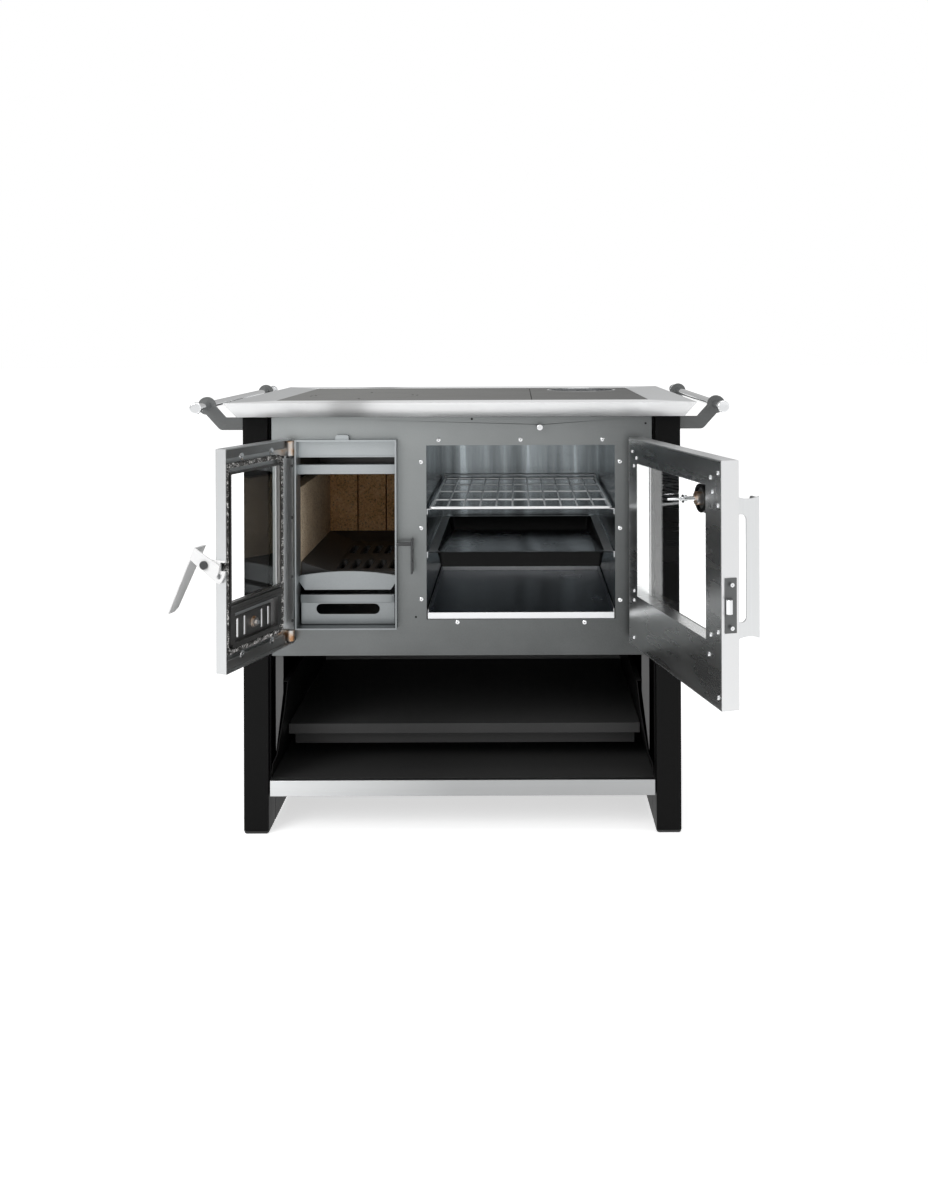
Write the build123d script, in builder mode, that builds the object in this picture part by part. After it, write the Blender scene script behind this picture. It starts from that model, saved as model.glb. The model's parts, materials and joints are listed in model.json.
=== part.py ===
from build123d import *
from math import atan2, cos, degrees, radians, sin
import os

# Wood cookstove: hob, firebox and oven in a steel cabinet on four legs.
# Millimetres. Origin on the floor under the middle of the hob, X to the right, Y to the back, Z up.

# Overall sizes
width = 910.0
depth = 660.0
height = 850.0

# Top rim, a mitred folded frame round the hob
rim_width = 83.8
rim_drop = 28.5
rim_slant = 21.5
rim_sheet = 3.0
rim_skirt_gap = 1.5
mitre_gap = 0.4

# Legs and their side runners
leg_width = 49.0
leg_depth = 62.0
leg_wall = 2.5
leg_corner = 2.0
leg_setback = 56.0
leg_side_gap = 25.0
foot_height = 6.0
foot_round = 4.5
foot_corner = 6.0
runner_sheet = 3.0
runner_top = 101.0
runner_clear = 3.0

# Cabinet
plate_setback = 8.0
plate_sheet = 3.0
plate_edge_gap = 6.0
cabinet_base = 56.0
side_sheet = 3.0
back_sheet = 3.0
floor_sheet = 3.0

# Hob plates and the frame that carries them
hob_thick = 8.0
hob_gap = 1.2
hob_right_width = 232.2
ledge_sheet = 4.0
ledge_inset = 24.0
ledge_clear = 1.5
lid_side_inset = 153.2
lid_front_inset = 180.2
lid_radius = 115.0
lid_step = 6.0
lid_gap = 1.0
lid_notch_radius = 2.6
lid_notch_count = 4
flue_side_inset = 111.7
flue_back_inset = 86.2
flue_radius = 75.0
flue_wall = 2.5
flue_flange = 3.0
flue_flange_thick = 3.0
flue_gap = 0.5
flue_depth = 52.0

# Side rails
rail_out = 47.0
rail_drop = 8.5
rail_radius = 8.0
rail_fit = 0.05
rail_eye_radius = 17.5
rail_bar = 25.0
rail_bar_thick = 5.0
rail_arm_length = 40.0
rail_arm_drop = 44.0
rail_front = 66.0
rail_overhang = 66.0
cap_radius = 11.5
cap_length = 11.0
cap_neck_radius = 9.6
cap_neck_length = 7.0
cap_round = 3.0

# Firebox opening, its collar and what stands in it
collar_drop = 75.0
collar_height = 371.0
collar_hinge_gap = 9.0
collar_latch_gap = 14.0
collar_wall = 3.0
collar_reach = 20.0
collar_neck = 24.0
clip_width = 26.0
clip_height = 9.0
clip_shift = 7.5
clip_depth = 12.0
brick_thick = 28.0
brick_drop = 98.0
brick_joint = 3.5
brick_fit = 0.3
back_brick_count = 3
lining_back_gap = 141.0
housing_sheet = 2.0
brick_ledge_lap = 4.0
housing_rise = 15.0
baffle_gap = 3.0
baffle_drop = 32.0
baffle_lip = 5.0
baffle_sheet = 2.0
flame_bar_drop = 50.5
flame_bar_height = 19.0
flame_bar_depth = 14.0
grate_rise = 93.0
grate_thick = 12.0
grate_border_rise = 31.0
grate_side_border = 58.0
grate_end_border = 26.0
grate_slot_width = 13.0
grate_slot_columns = 5
grate_slot_rows = 2
grate_column_share = 0.1935
grate_length_share = 0.269
grate_row_share = 0.4725
grate_centre_share = 0.4477
guard_rise = 71.5
guard_end_rise = 100.0
guard_mid_rise = 108.6
guard_thick = 4.0
guard_chamfer = 16.0
guard_chamfer_run = 11.2
guard_setback = 10.0
ash_lip_rise = 63.6
ash_lip_height = 15.8
ash_lip_reach = 6.0
ash_sheet = 2.0
ash_side_gap = 4.0
ash_face_gap = 1.0
ash_back_gap = 48.0
ash_wall_height = 40.0
ash_slot_margin = 30.0
ash_slot_height = 20.0
ash_slot_rise = 34.0

# Oven
oven_drop = 88.0
oven_height = 343.0
oven_hinge_margin = 37.8
oven_latch_margin = 17.2
oven_back_gap = 63.0
liner_sheet = 1.5
liner_flange = 14.0
ledge_width = 12.0
runner_thick = 1.5
shelf_fit = 0.3
rack_drop = 124.0
rack_frame_radius = 3.0
rack_wire_radius = 2.0
rack_wire_count = 10
rack_cross_shares = (0.24, 0.51, 0.76)
rack_stop_rise = 9.0
rack_side_gap = 5.0
tray_drop = 211.0
tray_deep = 32.0
tray_sheet = 1.2
tray_side_gap = 3.0
tray_corner = 14.0
tray_taper = 14.0
tray_flange = 16.0
tray_end_flange = 9.0
tray_front_gap = 3.0
tray_back_gap = 13.0
pan_rise = 19.0
pan_sheet = 1.2
pan_side_gap = 2.0
pan_back_gap = 8.0
pan_front_drop = 6.2
pan_lip = 10.0

# Smoke gas damper over the oven
damper_shift = 38.0
damper_drop = 51.5
damper_rod_radius = 4.0
damper_fit = 0.06
damper_knob_radius = 6.5
damper_knob_length = 14.0
damper_knob_round = 2.1
damper_knob_gap = 6.0
damper_plate_width = 120.0
damper_plate_depth = 130.0
damper_plate_thick = 3.0
damper_back_inset = 203.0
damper_upstand_half = 11.5
gas_plate_rise = 13.0
gas_plate_thick = 3.0
gas_port_width = 100.0
gas_port_depth = 90.0

# Wood store under the cabinet
shelf_trim_top = 105.0
shelf_trim_bottom = 74.0
shelf_trim_gap = 3.0
trim_sheet = 3.0
trim_round = 1.5
shelf_sheet = 2.0
shelf_rear_gap = 12.0
mid_shelf_share = 0.35
mid_shelf_lip = 20.0
mid_shelf_front = 71.0
mid_shelf_gap = 24.5
mid_shelf_sheet = 2.0
stiffener_setback = 28.0
stiffener_gap = 32.5
stiffener_share = 0.148
stiffener_flange = 8.0
side_guard_sheet = 1.5
side_guard_flange = 9.0
guard_top_inset = 39.0
guard_bend_inset = 32.5
guard_low_inset = 17.2
guard_foot_inset = 8.5
guard_end_inset = 7.5
side_guard_shares = (0.807, 0.572, 0.212, 0.132, 0.058)
strap_gap = 12.5
strap_width = 15.0
strap_foot_share = 0.226
strap_turn_share = 0.7
strap_clear = 1.0

# Fire door, a shallow tray hinged at its left edge
fire_hinge_inset = 40.0
fire_pivot_gap = 1.0
fire_open = 110.7
fire_width = 222.0
door_rise = 4.0
door_drop = 24.0
door_sheet = 2.0
door_round = 1.0
fire_thick = 22.0
fire_inner_off = 13.0
fire_window_side = 32.0
fire_window_rise = 120.0
fire_window_drop = 49.0
rope_side = 21.0
rope_rise = 30.0
rope_drop = 33.0
rope_radius = 5.7
rope_corner = 14.0
glass_thick = 4.0
glass_lap = 4.0
inner_frame_sheet = 1.5
inner_frame_gap = 0.5
inner_frame_front = 2.0
inner_frame_lap = 4.0
ridge_height = 7.5
ridge_count = 2
ridge_front = 1.0
ridge_round = 1.2
ridge_gap = 2.0
slide_clear = 0.8
slide_frame_rise = 8.0
fire_strip_height = 17.0
fire_strip_drop = 9.5
air_slot_width = 6.5
air_slot_height = 36.0
air_slot_rise = 67.0
air_slot_shares = (-0.22522523, -0.12612613, 0.12612613, 0.22522523)
air_travel = 10.0
air_plate_thick = 2.0
air_plate_margin = 9.0
air_plate_rise = 4.5
air_knob_radius = 7.0
air_knob_length = 12.0
air_knob_gap = 0.3
air_knob_round = 1.5
air_stem_radius = 3.0
air_stem_fit = 0.5

# Hinges
knuckle_radius = 8.5
hinge_pin_radius = 4.0
hinge_fit = 0.06
hinge_high_drop = 5.0
hinge_high_length = 29.0
hinge_low_rise = 4.0
hinge_low_length = 21.0
lug_thick = 4.0
lug_half = 7.0
lug_gap = 0.3
hinge_notch_clear = 1.2
hinge_leaf_thick = 4.0

# Latch of the fire door
keeper_clear = 9.8
keeper_thick = 3.0
keeper_reach = 30.0
keeper_rise = 134.0
keeper_height = 66.0
keeper_window_rise = 21.0
keeper_window_height = 26.0
keeper_window_inset = 6.0
keeper_corner = 3.0
keeper_pin_radius = 3.5
keeper_pin_rise = 57.0
keeper_pin_off = 18.0
notch_half = 7.6
notch_depth = 10.5
lever_bracket_thick = 3.0
lever_gap = 1.0
lever_thick = 3.0
lever_pivot_out = 18.5
lever_pivot_rise = 2.0
lever_bolt_radius = 4.0
lever_bolt_head_radius = 7.5
lever_bolt_head = 4.0
lever_bracket_radius = 10.0
lever_bracket_above = 9.0
lever_bracket_below = 17.0
throat_half = 4.3
throat_start = 10.0
throat_end = 33.0
finger_thick = 5.0
finger_round = 1.8
finger_tip_angle = 15.0
nose_end = 46.0
heel_angle = 56.0
lever_head_out = 22.7
lever_head_up = 29.7
lever_heel_out = 14.0
lever_heel_down = 4.0
lever_lean = 25.2
lever_side_length = 23.0
lever_side_round = 4.0
grip_length = 135.0
grip_top_width = 33.0
grip_end_width = 25.0
grip_end_round = 8.0

# Oven door, a deeper tray hinged at its right edge
oven_hinge_inset = 35.2
oven_pivot_off = 19.5
oven_open = 104.8
oven_edge_gap = 8.0
door_gap = 25.8
oven_thick = 31.0
oven_inner_off = 3.5
oven_window_hinge_side = 44.0
oven_window_free_side = 61.0
oven_window_rise = 100.0
oven_window_drop = 46.0
oven_glass_lap = 8.0
oven_glass_thick = 4.0
liner_plate_sheet = 1.5
window_frame_sheet = 1.5
dial_inset = 123.0
dial_drop = 77.0
dial_radius = 26.0
dial_thick = 14.0
dial_round = 2.3
dial_stem_radius = 4.5
dial_stem_fit = 0.5
dial_nut_radius = 7.0
dial_nut_sides = 6
dial_nut_thick = 6.0
dial_nut_reach = 32.0
dial_probe_radius = 2.0
dial_probe_reach = 58.0
handle_inset = 8.0
handle_thick = 3.0
handle_rise = 111.0
handle_length = 229.0
handle_reach = 38.0
handle_gap = 15.0
handle_gap_low = 27.0
handle_gap_high = 29.0
handle_gap_round = 9.0
handle_dish = 4.0
handle_flange = 27.0
handle_flange_trim = 3.0
handle_corner = 6.0
catch_rise = 168.0
catch_height = 88.0
catch_width = 20.0
catch_thick = 2.0
roller_rise = 167.0
roller_radius = 5.5
roller_length = 23.0
roller_pin_radius = 2.0
roller_fit = 0.06
roller_bite = 1.5
roller_off = 15.0
ear_thick = 2.0
ear_half = 3.0
overrun = 5.0

# Places worked out from the sizes above
rim_front_y = -depth / 2
rim_under_z = height - rim_sheet
rim_inner_x = width / 2 - rim_width
rim_inner_y = depth / 2 - rim_width
leg_front_y = rim_front_y + leg_setback
leg_back_y = leg_front_y + leg_depth
leg_outer_x = width / 2 - leg_side_gap
leg_inner_x = leg_outer_x - leg_width
plate_y = leg_front_y + plate_setback
plate_back_y = plate_y + plate_sheet
plate_half = leg_inner_x - plate_edge_gap
cabinet_back_y = -plate_back_y
side_inner_x = leg_inner_x - side_sheet
front_plate_top = rim_under_z - rim_drop
hob_under_z = height - hob_thick
ledge_under_z = hob_under_z - ledge_sheet
hob_split_x = rim_inner_x - hob_right_width
lid_x = -rim_inner_x + lid_side_inset
lid_y = -rim_inner_y + lid_front_inset
flue_x = rim_inner_x - flue_side_inset
flue_y = rim_inner_y - flue_back_inset
rail_x = width / 2 + rail_out
rail_z = height - rail_drop
rail_bend_x = leg_outer_x + rail_arm_length
rail_arm_z = height - rail_arm_drop
fire_pivot_x = -plate_half + fire_hinge_inset
fire_pivot_off = collar_reach + fire_pivot_gap
oven_pivot_x = plate_half - oven_hinge_inset
oven_width = oven_pivot_x - oven_edge_gap - fire_pivot_x - fire_width - door_gap
collar_top = height - collar_drop
collar_bottom = collar_top - collar_height
cabinet_bottom = collar_bottom - cabinet_base
collar_left = fire_pivot_x + collar_hinge_gap
collar_right = fire_pivot_x + fire_width - collar_latch_gap
door_top = collar_top + door_rise
door_bottom = collar_bottom - door_drop
lining_back_y = cabinet_back_y - lining_back_gap
brick_top = collar_top - brick_drop
grate_level = collar_bottom + grate_rise
oven_top = height - oven_drop
oven_bottom = oven_top - oven_height
oven_right = oven_pivot_x - oven_hinge_margin
oven_left = oven_pivot_x - oven_edge_gap - oven_width + oven_latch_margin
oven_back_y = cabinet_back_y - oven_back_gap
store_rise = cabinet_bottom - shelf_trim_top
mid_shelf_top = shelf_trim_top + mid_shelf_share * store_rise
mid_shelf_half = leg_inner_x - mid_shelf_gap
damper_x = (oven_left + oven_right) / 2 + damper_shift
damper_z = height - damper_drop
keeper_x = oven_pivot_x - oven_edge_gap - oven_width - keeper_clear
keeper_bottom = door_bottom + keeper_rise
keeper_top = keeper_bottom + keeper_height
keeper_pin_z = keeper_bottom + keeper_pin_rise
lever_pivot_z = keeper_pin_z + lever_pivot_rise


def slab(plane, x_span, y_span, z_span, mode=Mode.ADD):
    """A box between two places on each axis of a plane."""
    with BuildSketch(plane.offset(z_span[0]), mode=Mode.PRIVATE) as base:
        with Locations(((x_span[0] + x_span[1]) / 2, (y_span[0] + y_span[1]) / 2)):
            Rectangle(abs(x_span[1] - x_span[0]), abs(y_span[1] - y_span[0]))
    extrude(base.sketch, amount=z_span[1] - z_span[0], mode=mode)


def post(plane, centre, radius, z_span, mode=Mode.ADD):
    """A round bar or hole between two heights over a plane."""
    with BuildSketch(plane.offset(z_span[0]), mode=Mode.PRIVATE) as base:
        with Locations(centre):
            Circle(radius)
    extrude(base.sketch, amount=z_span[1] - z_span[0], mode=mode)


def turned_face(pivot_x, pivot_off, turn):
    """The plane of a door: x along its width, y up, z out of its face, through the hinge pin."""
    angle = radians(turn)
    return Plane(
        origin=(pivot_x, plate_y - pivot_off, 0),
        x_dir=(cos(angle), sin(angle), 0),
        z_dir=(sin(angle), -cos(angle), 0),
    )


def finish(name, builder):
    """Labels one finished piece and writes it."""
    builder.part.label = name
    export_step(builder.part, "parts/" + name + ".step")


os.makedirs("parts", exist_ok=True)
floor = Plane.XY
fire_face = turned_face(fire_pivot_x, fire_pivot_off, -fire_open)
oven_face = turned_face(oven_pivot_x, oven_pivot_off, oven_open)
sides = (-1, 1)

# Top rim: a flat frame with a slanting skirt, mitred at the corners
rim_skirt_inset = rim_sheet + rim_skirt_gap
with BuildPart() as top_rim:
    with BuildSketch(floor.offset(height)):
        Rectangle(width, depth)
    extrude(amount=-rim_drop, taper=degrees(atan2(rim_slant, rim_drop)))
    with BuildSketch(floor.offset(rim_under_z)):
        Rectangle(width - 2 * rim_skirt_inset, depth - 2 * rim_skirt_inset)
    extrude(amount=-rim_drop, taper=degrees(atan2(rim_slant, rim_drop)), mode=Mode.SUBTRACT)
    slab(
        floor,
        (-rim_inner_x, rim_inner_x),
        (-rim_inner_y, rim_inner_y),
        (0, height + overrun),
        Mode.SUBTRACT,
    )
    for x_sign in sides:
        for y_sign in sides:
            corner_spot = (x_sign * rim_inner_x, y_sign * rim_inner_y, 0)
            corner = Plane(origin=corner_spot, x_dir=(x_sign, y_sign, 0), z_dir=(0, 0, 1))
            slab(
                corner,
                (-overrun, 2 * rim_width),
                (-mitre_gap / 2, mitre_gap / 2),
                (0, height + overrun),
                Mode.SUBTRACT,
            )
finish("top_rim", top_rim)

# Legs: square tubes on rounded plastic glides
leg_pitch_x = 2 * leg_inner_x + leg_width
leg_pitch_y = -2 * leg_front_y - leg_depth
with BuildPart() as legs:
    with BuildSketch(floor.offset(foot_height)):
        with GridLocations(leg_pitch_x, leg_pitch_y, 2, 2):
            RectangleRounded(leg_width, leg_depth, leg_corner)
            Rectangle(leg_width - 2 * leg_wall, leg_depth - 2 * leg_wall, mode=Mode.SUBTRACT)
    extrude(amount=rim_under_z - foot_height)
finish("legs", legs)

with BuildPart() as foot_glides:
    with BuildSketch(floor):
        with GridLocations(leg_pitch_x, leg_pitch_y, 2, 2):
            RectangleRounded(leg_width, leg_depth, foot_corner)
    extrude(amount=foot_height)
    fillet(foot_glides.faces().group_by(Axis.Z)[0].edges(), foot_round)
finish("foot_glides", foot_glides)

with BuildPart() as leg_runners:
    for side in sides:
        x_span = sorted((side * leg_inner_x, side * (leg_inner_x + runner_sheet)))
        slab(floor, x_span, (leg_back_y, -leg_back_y), (runner_clear, runner_top))
finish("leg_runners", leg_runners)

# Cabinet sheets
collar_x = (collar_left, collar_right)
collar_z = (collar_bottom, collar_top)
front = Plane(origin=(0, plate_back_y, 0), x_dir=(1, 0, 0), z_dir=(0, -1, 0))
with BuildPart() as front_plate:
    slab(front, (-plate_half, plate_half), (cabinet_bottom, front_plate_top), (0, plate_sheet))
    slab(front, collar_x, collar_z, (-overrun, plate_sheet + overrun), Mode.SUBTRACT)
    slab(
        front,
        (oven_left, oven_right),
        (oven_bottom, oven_top),
        (-overrun, plate_sheet + overrun),
        Mode.SUBTRACT,
    )
    post(
        front,
        (damper_x, damper_z),
        damper_rod_radius + damper_fit,
        (-overrun, plate_sheet + overrun),
        Mode.SUBTRACT,
    )
finish("front_plate", front_plate)

with BuildPart() as side_panels:
    for side in sides:
        x_span = sorted((side * side_inner_x, side * leg_inner_x))
        slab(floor, x_span, (plate_back_y, cabinet_back_y), (shelf_trim_top, ledge_under_z))
finish("side_panels", side_panels)

with BuildPart() as back_panel:
    slab(
        floor,
        (-leg_inner_x, leg_inner_x),
        (cabinet_back_y, cabinet_back_y + back_sheet),
        (shelf_trim_top, ledge_under_z),
    )
finish("back_panel", back_panel)

with BuildPart() as cabinet_floor:
    slab(
        floor,
        (-side_inner_x, side_inner_x),
        (plate_back_y, cabinet_back_y),
        (cabinet_bottom, cabinet_bottom + floor_sheet),
    )
finish("cabinet_floor", cabinet_floor)

# Frame under the hob plates, with an upstand that meets the rim
ledge_half_x = rim_inner_x - ledge_inset
ledge_half_y = rim_inner_y - ledge_inset
with BuildPart() as hob_frame:
    slab(
        floor,
        (-leg_inner_x, leg_inner_x),
        (plate_back_y, cabinet_back_y + back_sheet),
        (ledge_under_z, rim_under_z),
    )
    slab(
        floor,
        (-rim_inner_x - ledge_clear, rim_inner_x + ledge_clear),
        (-rim_inner_y - ledge_clear, rim_inner_y + ledge_clear),
        (hob_under_z, height),
        Mode.SUBTRACT,
    )
    slab(
        floor,
        (-ledge_half_x, ledge_half_x),
        (-ledge_half_y, ledge_half_y),
        (ledge_under_z - overrun, height),
        Mode.SUBTRACT,
    )
    post(
        floor,
        (flue_x, flue_y),
        flue_radius + flue_wall + ledge_clear,
        (ledge_under_z - overrun, height),
        Mode.SUBTRACT,
    )
finish("hob_frame", hob_frame)

# Hob plates: the left one has a lift-off lid, the right one the flue collar
with BuildPart() as hob_plate_left:
    slab(
        floor,
        (-rim_inner_x + hob_gap, hob_split_x - hob_gap / 2),
        (-rim_inner_y + hob_gap, rim_inner_y - hob_gap),
        (hob_under_z, height),
    )
    with Locations((lid_x, lid_y, height)):
        CounterBoreHole(lid_radius - lid_step, lid_radius, hob_thick / 2)
finish("hob_plate_left", hob_plate_left)

with BuildPart() as hob_lid:
    post(floor, (lid_x, lid_y), lid_radius - lid_gap, (height - hob_thick / 2, height))
    post(floor, (lid_x, lid_y), lid_radius - lid_step - lid_gap, (hob_under_z, height))
    with Locations((lid_x, lid_y, height)):
        with PolarLocations(lid_radius - lid_gap - lid_notch_radius / 2, lid_notch_count):
            Hole(lid_notch_radius, hob_thick / 2)
finish("hob_lid", hob_lid)

with BuildPart() as hob_plate_right:
    slab(
        floor,
        (hob_split_x + hob_gap / 2, rim_inner_x - hob_gap),
        (-rim_inner_y + hob_gap, rim_inner_y - hob_gap),
        (hob_under_z, height),
    )
    with Locations((flue_x, flue_y, height)):
        CounterBoreHole(
            flue_radius + flue_wall + flue_gap,
            flue_radius + flue_wall + flue_flange + flue_gap,
            flue_flange_thick,
        )
finish("hob_plate_right", hob_plate_right)

with BuildPart() as flue_collar:
    post(floor, (flue_x, flue_y), flue_radius + flue_wall, (height - flue_depth, height))
    post(
        floor,
        (flue_x, flue_y),
        flue_radius + flue_wall + flue_flange,
        (height - flue_flange_thick, height),
    )
    post(floor, (flue_x, flue_y), flue_radius, (height - flue_depth, height), Mode.SUBTRACT)
finish("flue_collar", flue_collar)

# Side rails: a rod through the eyes of two flat brackets, with chrome end caps
bracket_places = (rim_front_y + rail_front, -rim_front_y - rail_front)
rod_half = -bracket_places[0] + rail_overhang
with BuildPart() as rail_brackets:
    for place in bracket_places:
        bar_face = Plane(origin=(0, place + rail_bar_thick / 2, 0), x_dir=(1, 0, 0), z_dir=(0, -1, 0))
        with BuildSketch(bar_face):
            with BuildLine():
                Polyline((leg_outer_x, rail_arm_z), (rail_bend_x, rail_arm_z), (rail_x, rail_z))
                offset(amount=rail_bar / 2)
            make_face()
            with Locations((leg_outer_x - rail_bar / 2, rail_arm_z)):
                Rectangle(rail_bar, 2 * rail_bar, mode=Mode.SUBTRACT)
            with Locations((rail_x, rail_z)):
                Circle(rail_eye_radius)
                Circle(rail_radius + rail_fit, mode=Mode.SUBTRACT)
            mirror(about=Plane.YZ)
        extrude(amount=rail_bar_thick)
finish("rail_brackets", rail_brackets)

with BuildPart() as rail_rods:
    for side in sides:
        along = Plane(origin=(side * rail_x, 0, rail_z), x_dir=(1, 0, 0), z_dir=(0, -1, 0))
        post(along, (0, 0), rail_radius, (-rod_half, rod_half))
finish("rail_rods", rail_rods)

with BuildPart() as rail_caps:
    for side in sides:
        for end in sides:
            tip = Plane(origin=(side * rail_x, end * rod_half, rail_z), x_dir=(1, 0, 0), z_dir=(0, end, 0))
            post(tip, (0, 0), cap_neck_radius, (0, cap_neck_length))
            post(tip, (0, 0), cap_radius, (cap_neck_length, cap_neck_length + cap_length))
    fillet(rail_caps.edges().filter_by(GeomType.CIRCLE).group_by(Axis.Y)[0], cap_round)
    fillet(rail_caps.edges().filter_by(GeomType.CIRCLE).group_by(Axis.Y)[-1], cap_round)
finish("rail_caps", rail_caps)

# Firebox: collar, brick lining, grate, log guard and ash drawer
inner_left = collar_left + collar_wall
inner_right = collar_right - collar_wall
inner_x = (inner_left, inner_right)
neck_y = plate_back_y + collar_neck
clip_x = (collar_left + collar_right) / 2 - clip_shift
with BuildPart() as firebox_collar:
    slab(front, collar_x, collar_z, (plate_back_y - neck_y, plate_sheet + collar_reach))
    slab(
        front,
        inner_x,
        (collar_bottom + collar_wall, collar_top - collar_wall),
        (-collar_neck - overrun, plate_sheet + collar_reach + overrun),
        Mode.SUBTRACT,
    )
    slab(
        front,
        (clip_x - clip_width / 2, clip_x + clip_width / 2),
        (collar_top, collar_top + clip_height),
        (plate_sheet, plate_sheet + clip_depth),
    )
    fillet(firebox_collar.edges().filter_by(Axis.Y).group_by(Axis.Z)[-1], clip_height / 2)
finish("firebox_collar", firebox_collar)

brick_left_x = (inner_left - brick_thick, inner_left)
brick_right_x = (inner_right, inner_right + brick_thick)
back_y = (lining_back_y, lining_back_y + brick_thick)
housing_x = (brick_left_x[0] - brick_fit, brick_right_x[1] + brick_fit)
housing_back = back_y[1] + brick_fit
ash_bottom = collar_bottom + collar_wall + ash_face_gap
housing_top = collar_top + housing_rise
with BuildPart() as firebox_housing:
    slab(
        floor,
        (housing_x[0] - housing_sheet, housing_x[1] + housing_sheet),
        (neck_y, housing_back + housing_sheet),
        (collar_bottom, housing_top),
    )
    slab(
        floor,
        housing_x,
        (neck_y - overrun, housing_back),
        (ash_bottom - brick_fit, housing_top + overrun),
        Mode.SUBTRACT,
    )
finish("firebox_housing", firebox_housing)

# Ledges inside the housing that carry the bricks and the grate
with BuildPart() as brick_ledges:
    slab(
        floor,
        (housing_x[0], housing_x[1]),
        (neck_y, housing_back),
        (grate_level - housing_sheet, grate_level),
    )
    slab(
        floor,
        (inner_left + brick_ledge_lap, inner_right - brick_ledge_lap),
        (neck_y - overrun, lining_back_y - brick_ledge_lap),
        (grate_level - housing_sheet - overrun, grate_level + overrun),
        Mode.SUBTRACT,
    )
finish("brick_ledges", brick_ledges)

with BuildPart() as firebricks_side:
    for brick_x in (brick_left_x, brick_right_x):
        slab(floor, brick_x, (neck_y, lining_back_y), (grate_level, brick_top))
finish("firebricks_side", firebricks_side)

back_span = inner_right - inner_left
back_brick_width = (back_span - brick_joint * (back_brick_count - 1)) / back_brick_count
with BuildPart() as firebricks_back:
    for brick in range(back_brick_count):
        left = inner_left + brick * (back_brick_width + brick_joint)
        slab(floor, (left, left + back_brick_width), back_y, (grate_level, brick_top))
finish("firebricks_back", firebricks_back)

# Throat over the fire: a front panel with a lip and a bar below it
baffle_top = collar_top - baffle_gap
baffle_bottom = collar_top - baffle_drop
with BuildPart() as throat_panel:
    slab(front, inner_x, (baffle_bottom, baffle_top), (-baffle_sheet, 0))
    slab(front, inner_x, (baffle_top - baffle_sheet, baffle_top), (-collar_neck, 0))
    slab(
        front,
        inner_x,
        (baffle_bottom - baffle_lip, baffle_bottom),
        (-baffle_lip - baffle_sheet, -baffle_lip),
    )
    slab(
        front,
        inner_x,
        (baffle_bottom, baffle_bottom + baffle_sheet),
        (-baffle_lip - baffle_sheet, 0),
    )
finish("throat_panel", throat_panel)

flame_bar_top = collar_top - flame_bar_drop
with BuildPart() as flame_bar:
    slab(front, inner_x, (flame_bar_top - flame_bar_height, flame_bar_top), (-baffle_sheet, 0))
    slab(front, inner_x, (flame_bar_top - baffle_sheet, flame_bar_top), (-flame_bar_depth, 0))
finish("flame_bar", flame_bar)

# Cast grate: a sloping border down to a slotted floor
grate_x = (inner_left + brick_fit, inner_right - brick_fit)
grate_y = (neck_y + brick_fit, lining_back_y - brick_fit)
slotted_x = (grate_x[0] + grate_side_border, grate_x[1])
slotted_y = (grate_y[0], grate_y[1] - grate_end_border)
slotted_length = slotted_y[1] - slotted_y[0]
slope_top = grate_level + grate_border_rise
with BuildPart() as fire_grate:
    slab(floor, grate_x, grate_y, (grate_level, grate_level + grate_thick))
    with BuildSketch(Plane.XZ.offset(-grate_y[0])):
        with BuildLine():
            Polyline(
                (grate_x[0], grate_level + grate_thick),
                (slotted_x[0], grate_level + grate_thick),
                (grate_x[0], slope_top),
                close=True,
            )
        make_face()
    extrude(amount=-(grate_y[1] - grate_y[0]))
    with BuildSketch(Plane.YZ.offset(grate_x[0])):
        with BuildLine():
            Polyline(
                (grate_y[1], grate_level + grate_thick),
                (slotted_y[1], grate_level + grate_thick),
                (grate_y[1], slope_top),
                close=True,
            )
        make_face()
    extrude(amount=grate_x[1] - grate_x[0])
    slot_mid_x = (slotted_x[0] + slotted_x[1]) / 2
    slot_pitch = grate_column_share * (slotted_x[1] - slotted_x[0])
    row_pitch = grate_row_share * slotted_length
    with BuildSketch(floor.offset(grate_level)):
        with Locations((slot_mid_x, slotted_y[0] + grate_centre_share * slotted_length)):
            with GridLocations(slot_pitch, row_pitch, grate_slot_columns, grate_slot_rows):
                SlotOverall(grate_length_share * slotted_length, grate_slot_width, rotation=90)
    extrude(amount=slope_top - grate_level + overrun, mode=Mode.SUBTRACT)
finish("fire_grate", fire_grate)

# Log guard: arched along the top, chamfered at the lower corners
guard_x = (inner_left + brick_fit, inner_right - brick_fit)
guard_bottom = collar_bottom + guard_rise
guard_end_top = collar_bottom + guard_end_rise
with BuildPart() as log_guard:
    with BuildSketch(front.offset(-guard_setback + plate_sheet)):
        with BuildLine():
            ThreePointArc(
                (guard_x[0], guard_end_top),
                ((guard_x[0] + guard_x[1]) / 2, collar_bottom + guard_mid_rise),
                (guard_x[1], guard_end_top),
            )
            Polyline(
                (guard_x[1], guard_end_top),
                (guard_x[1], guard_bottom + guard_chamfer),
                (guard_x[1] - guard_chamfer_run, guard_bottom),
                (guard_x[0] + guard_chamfer_run, guard_bottom),
                (guard_x[0], guard_bottom + guard_chamfer),
                (guard_x[0], guard_end_top),
            )
        make_face()
    extrude(amount=-guard_thick)
finish("log_guard", log_guard)

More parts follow.
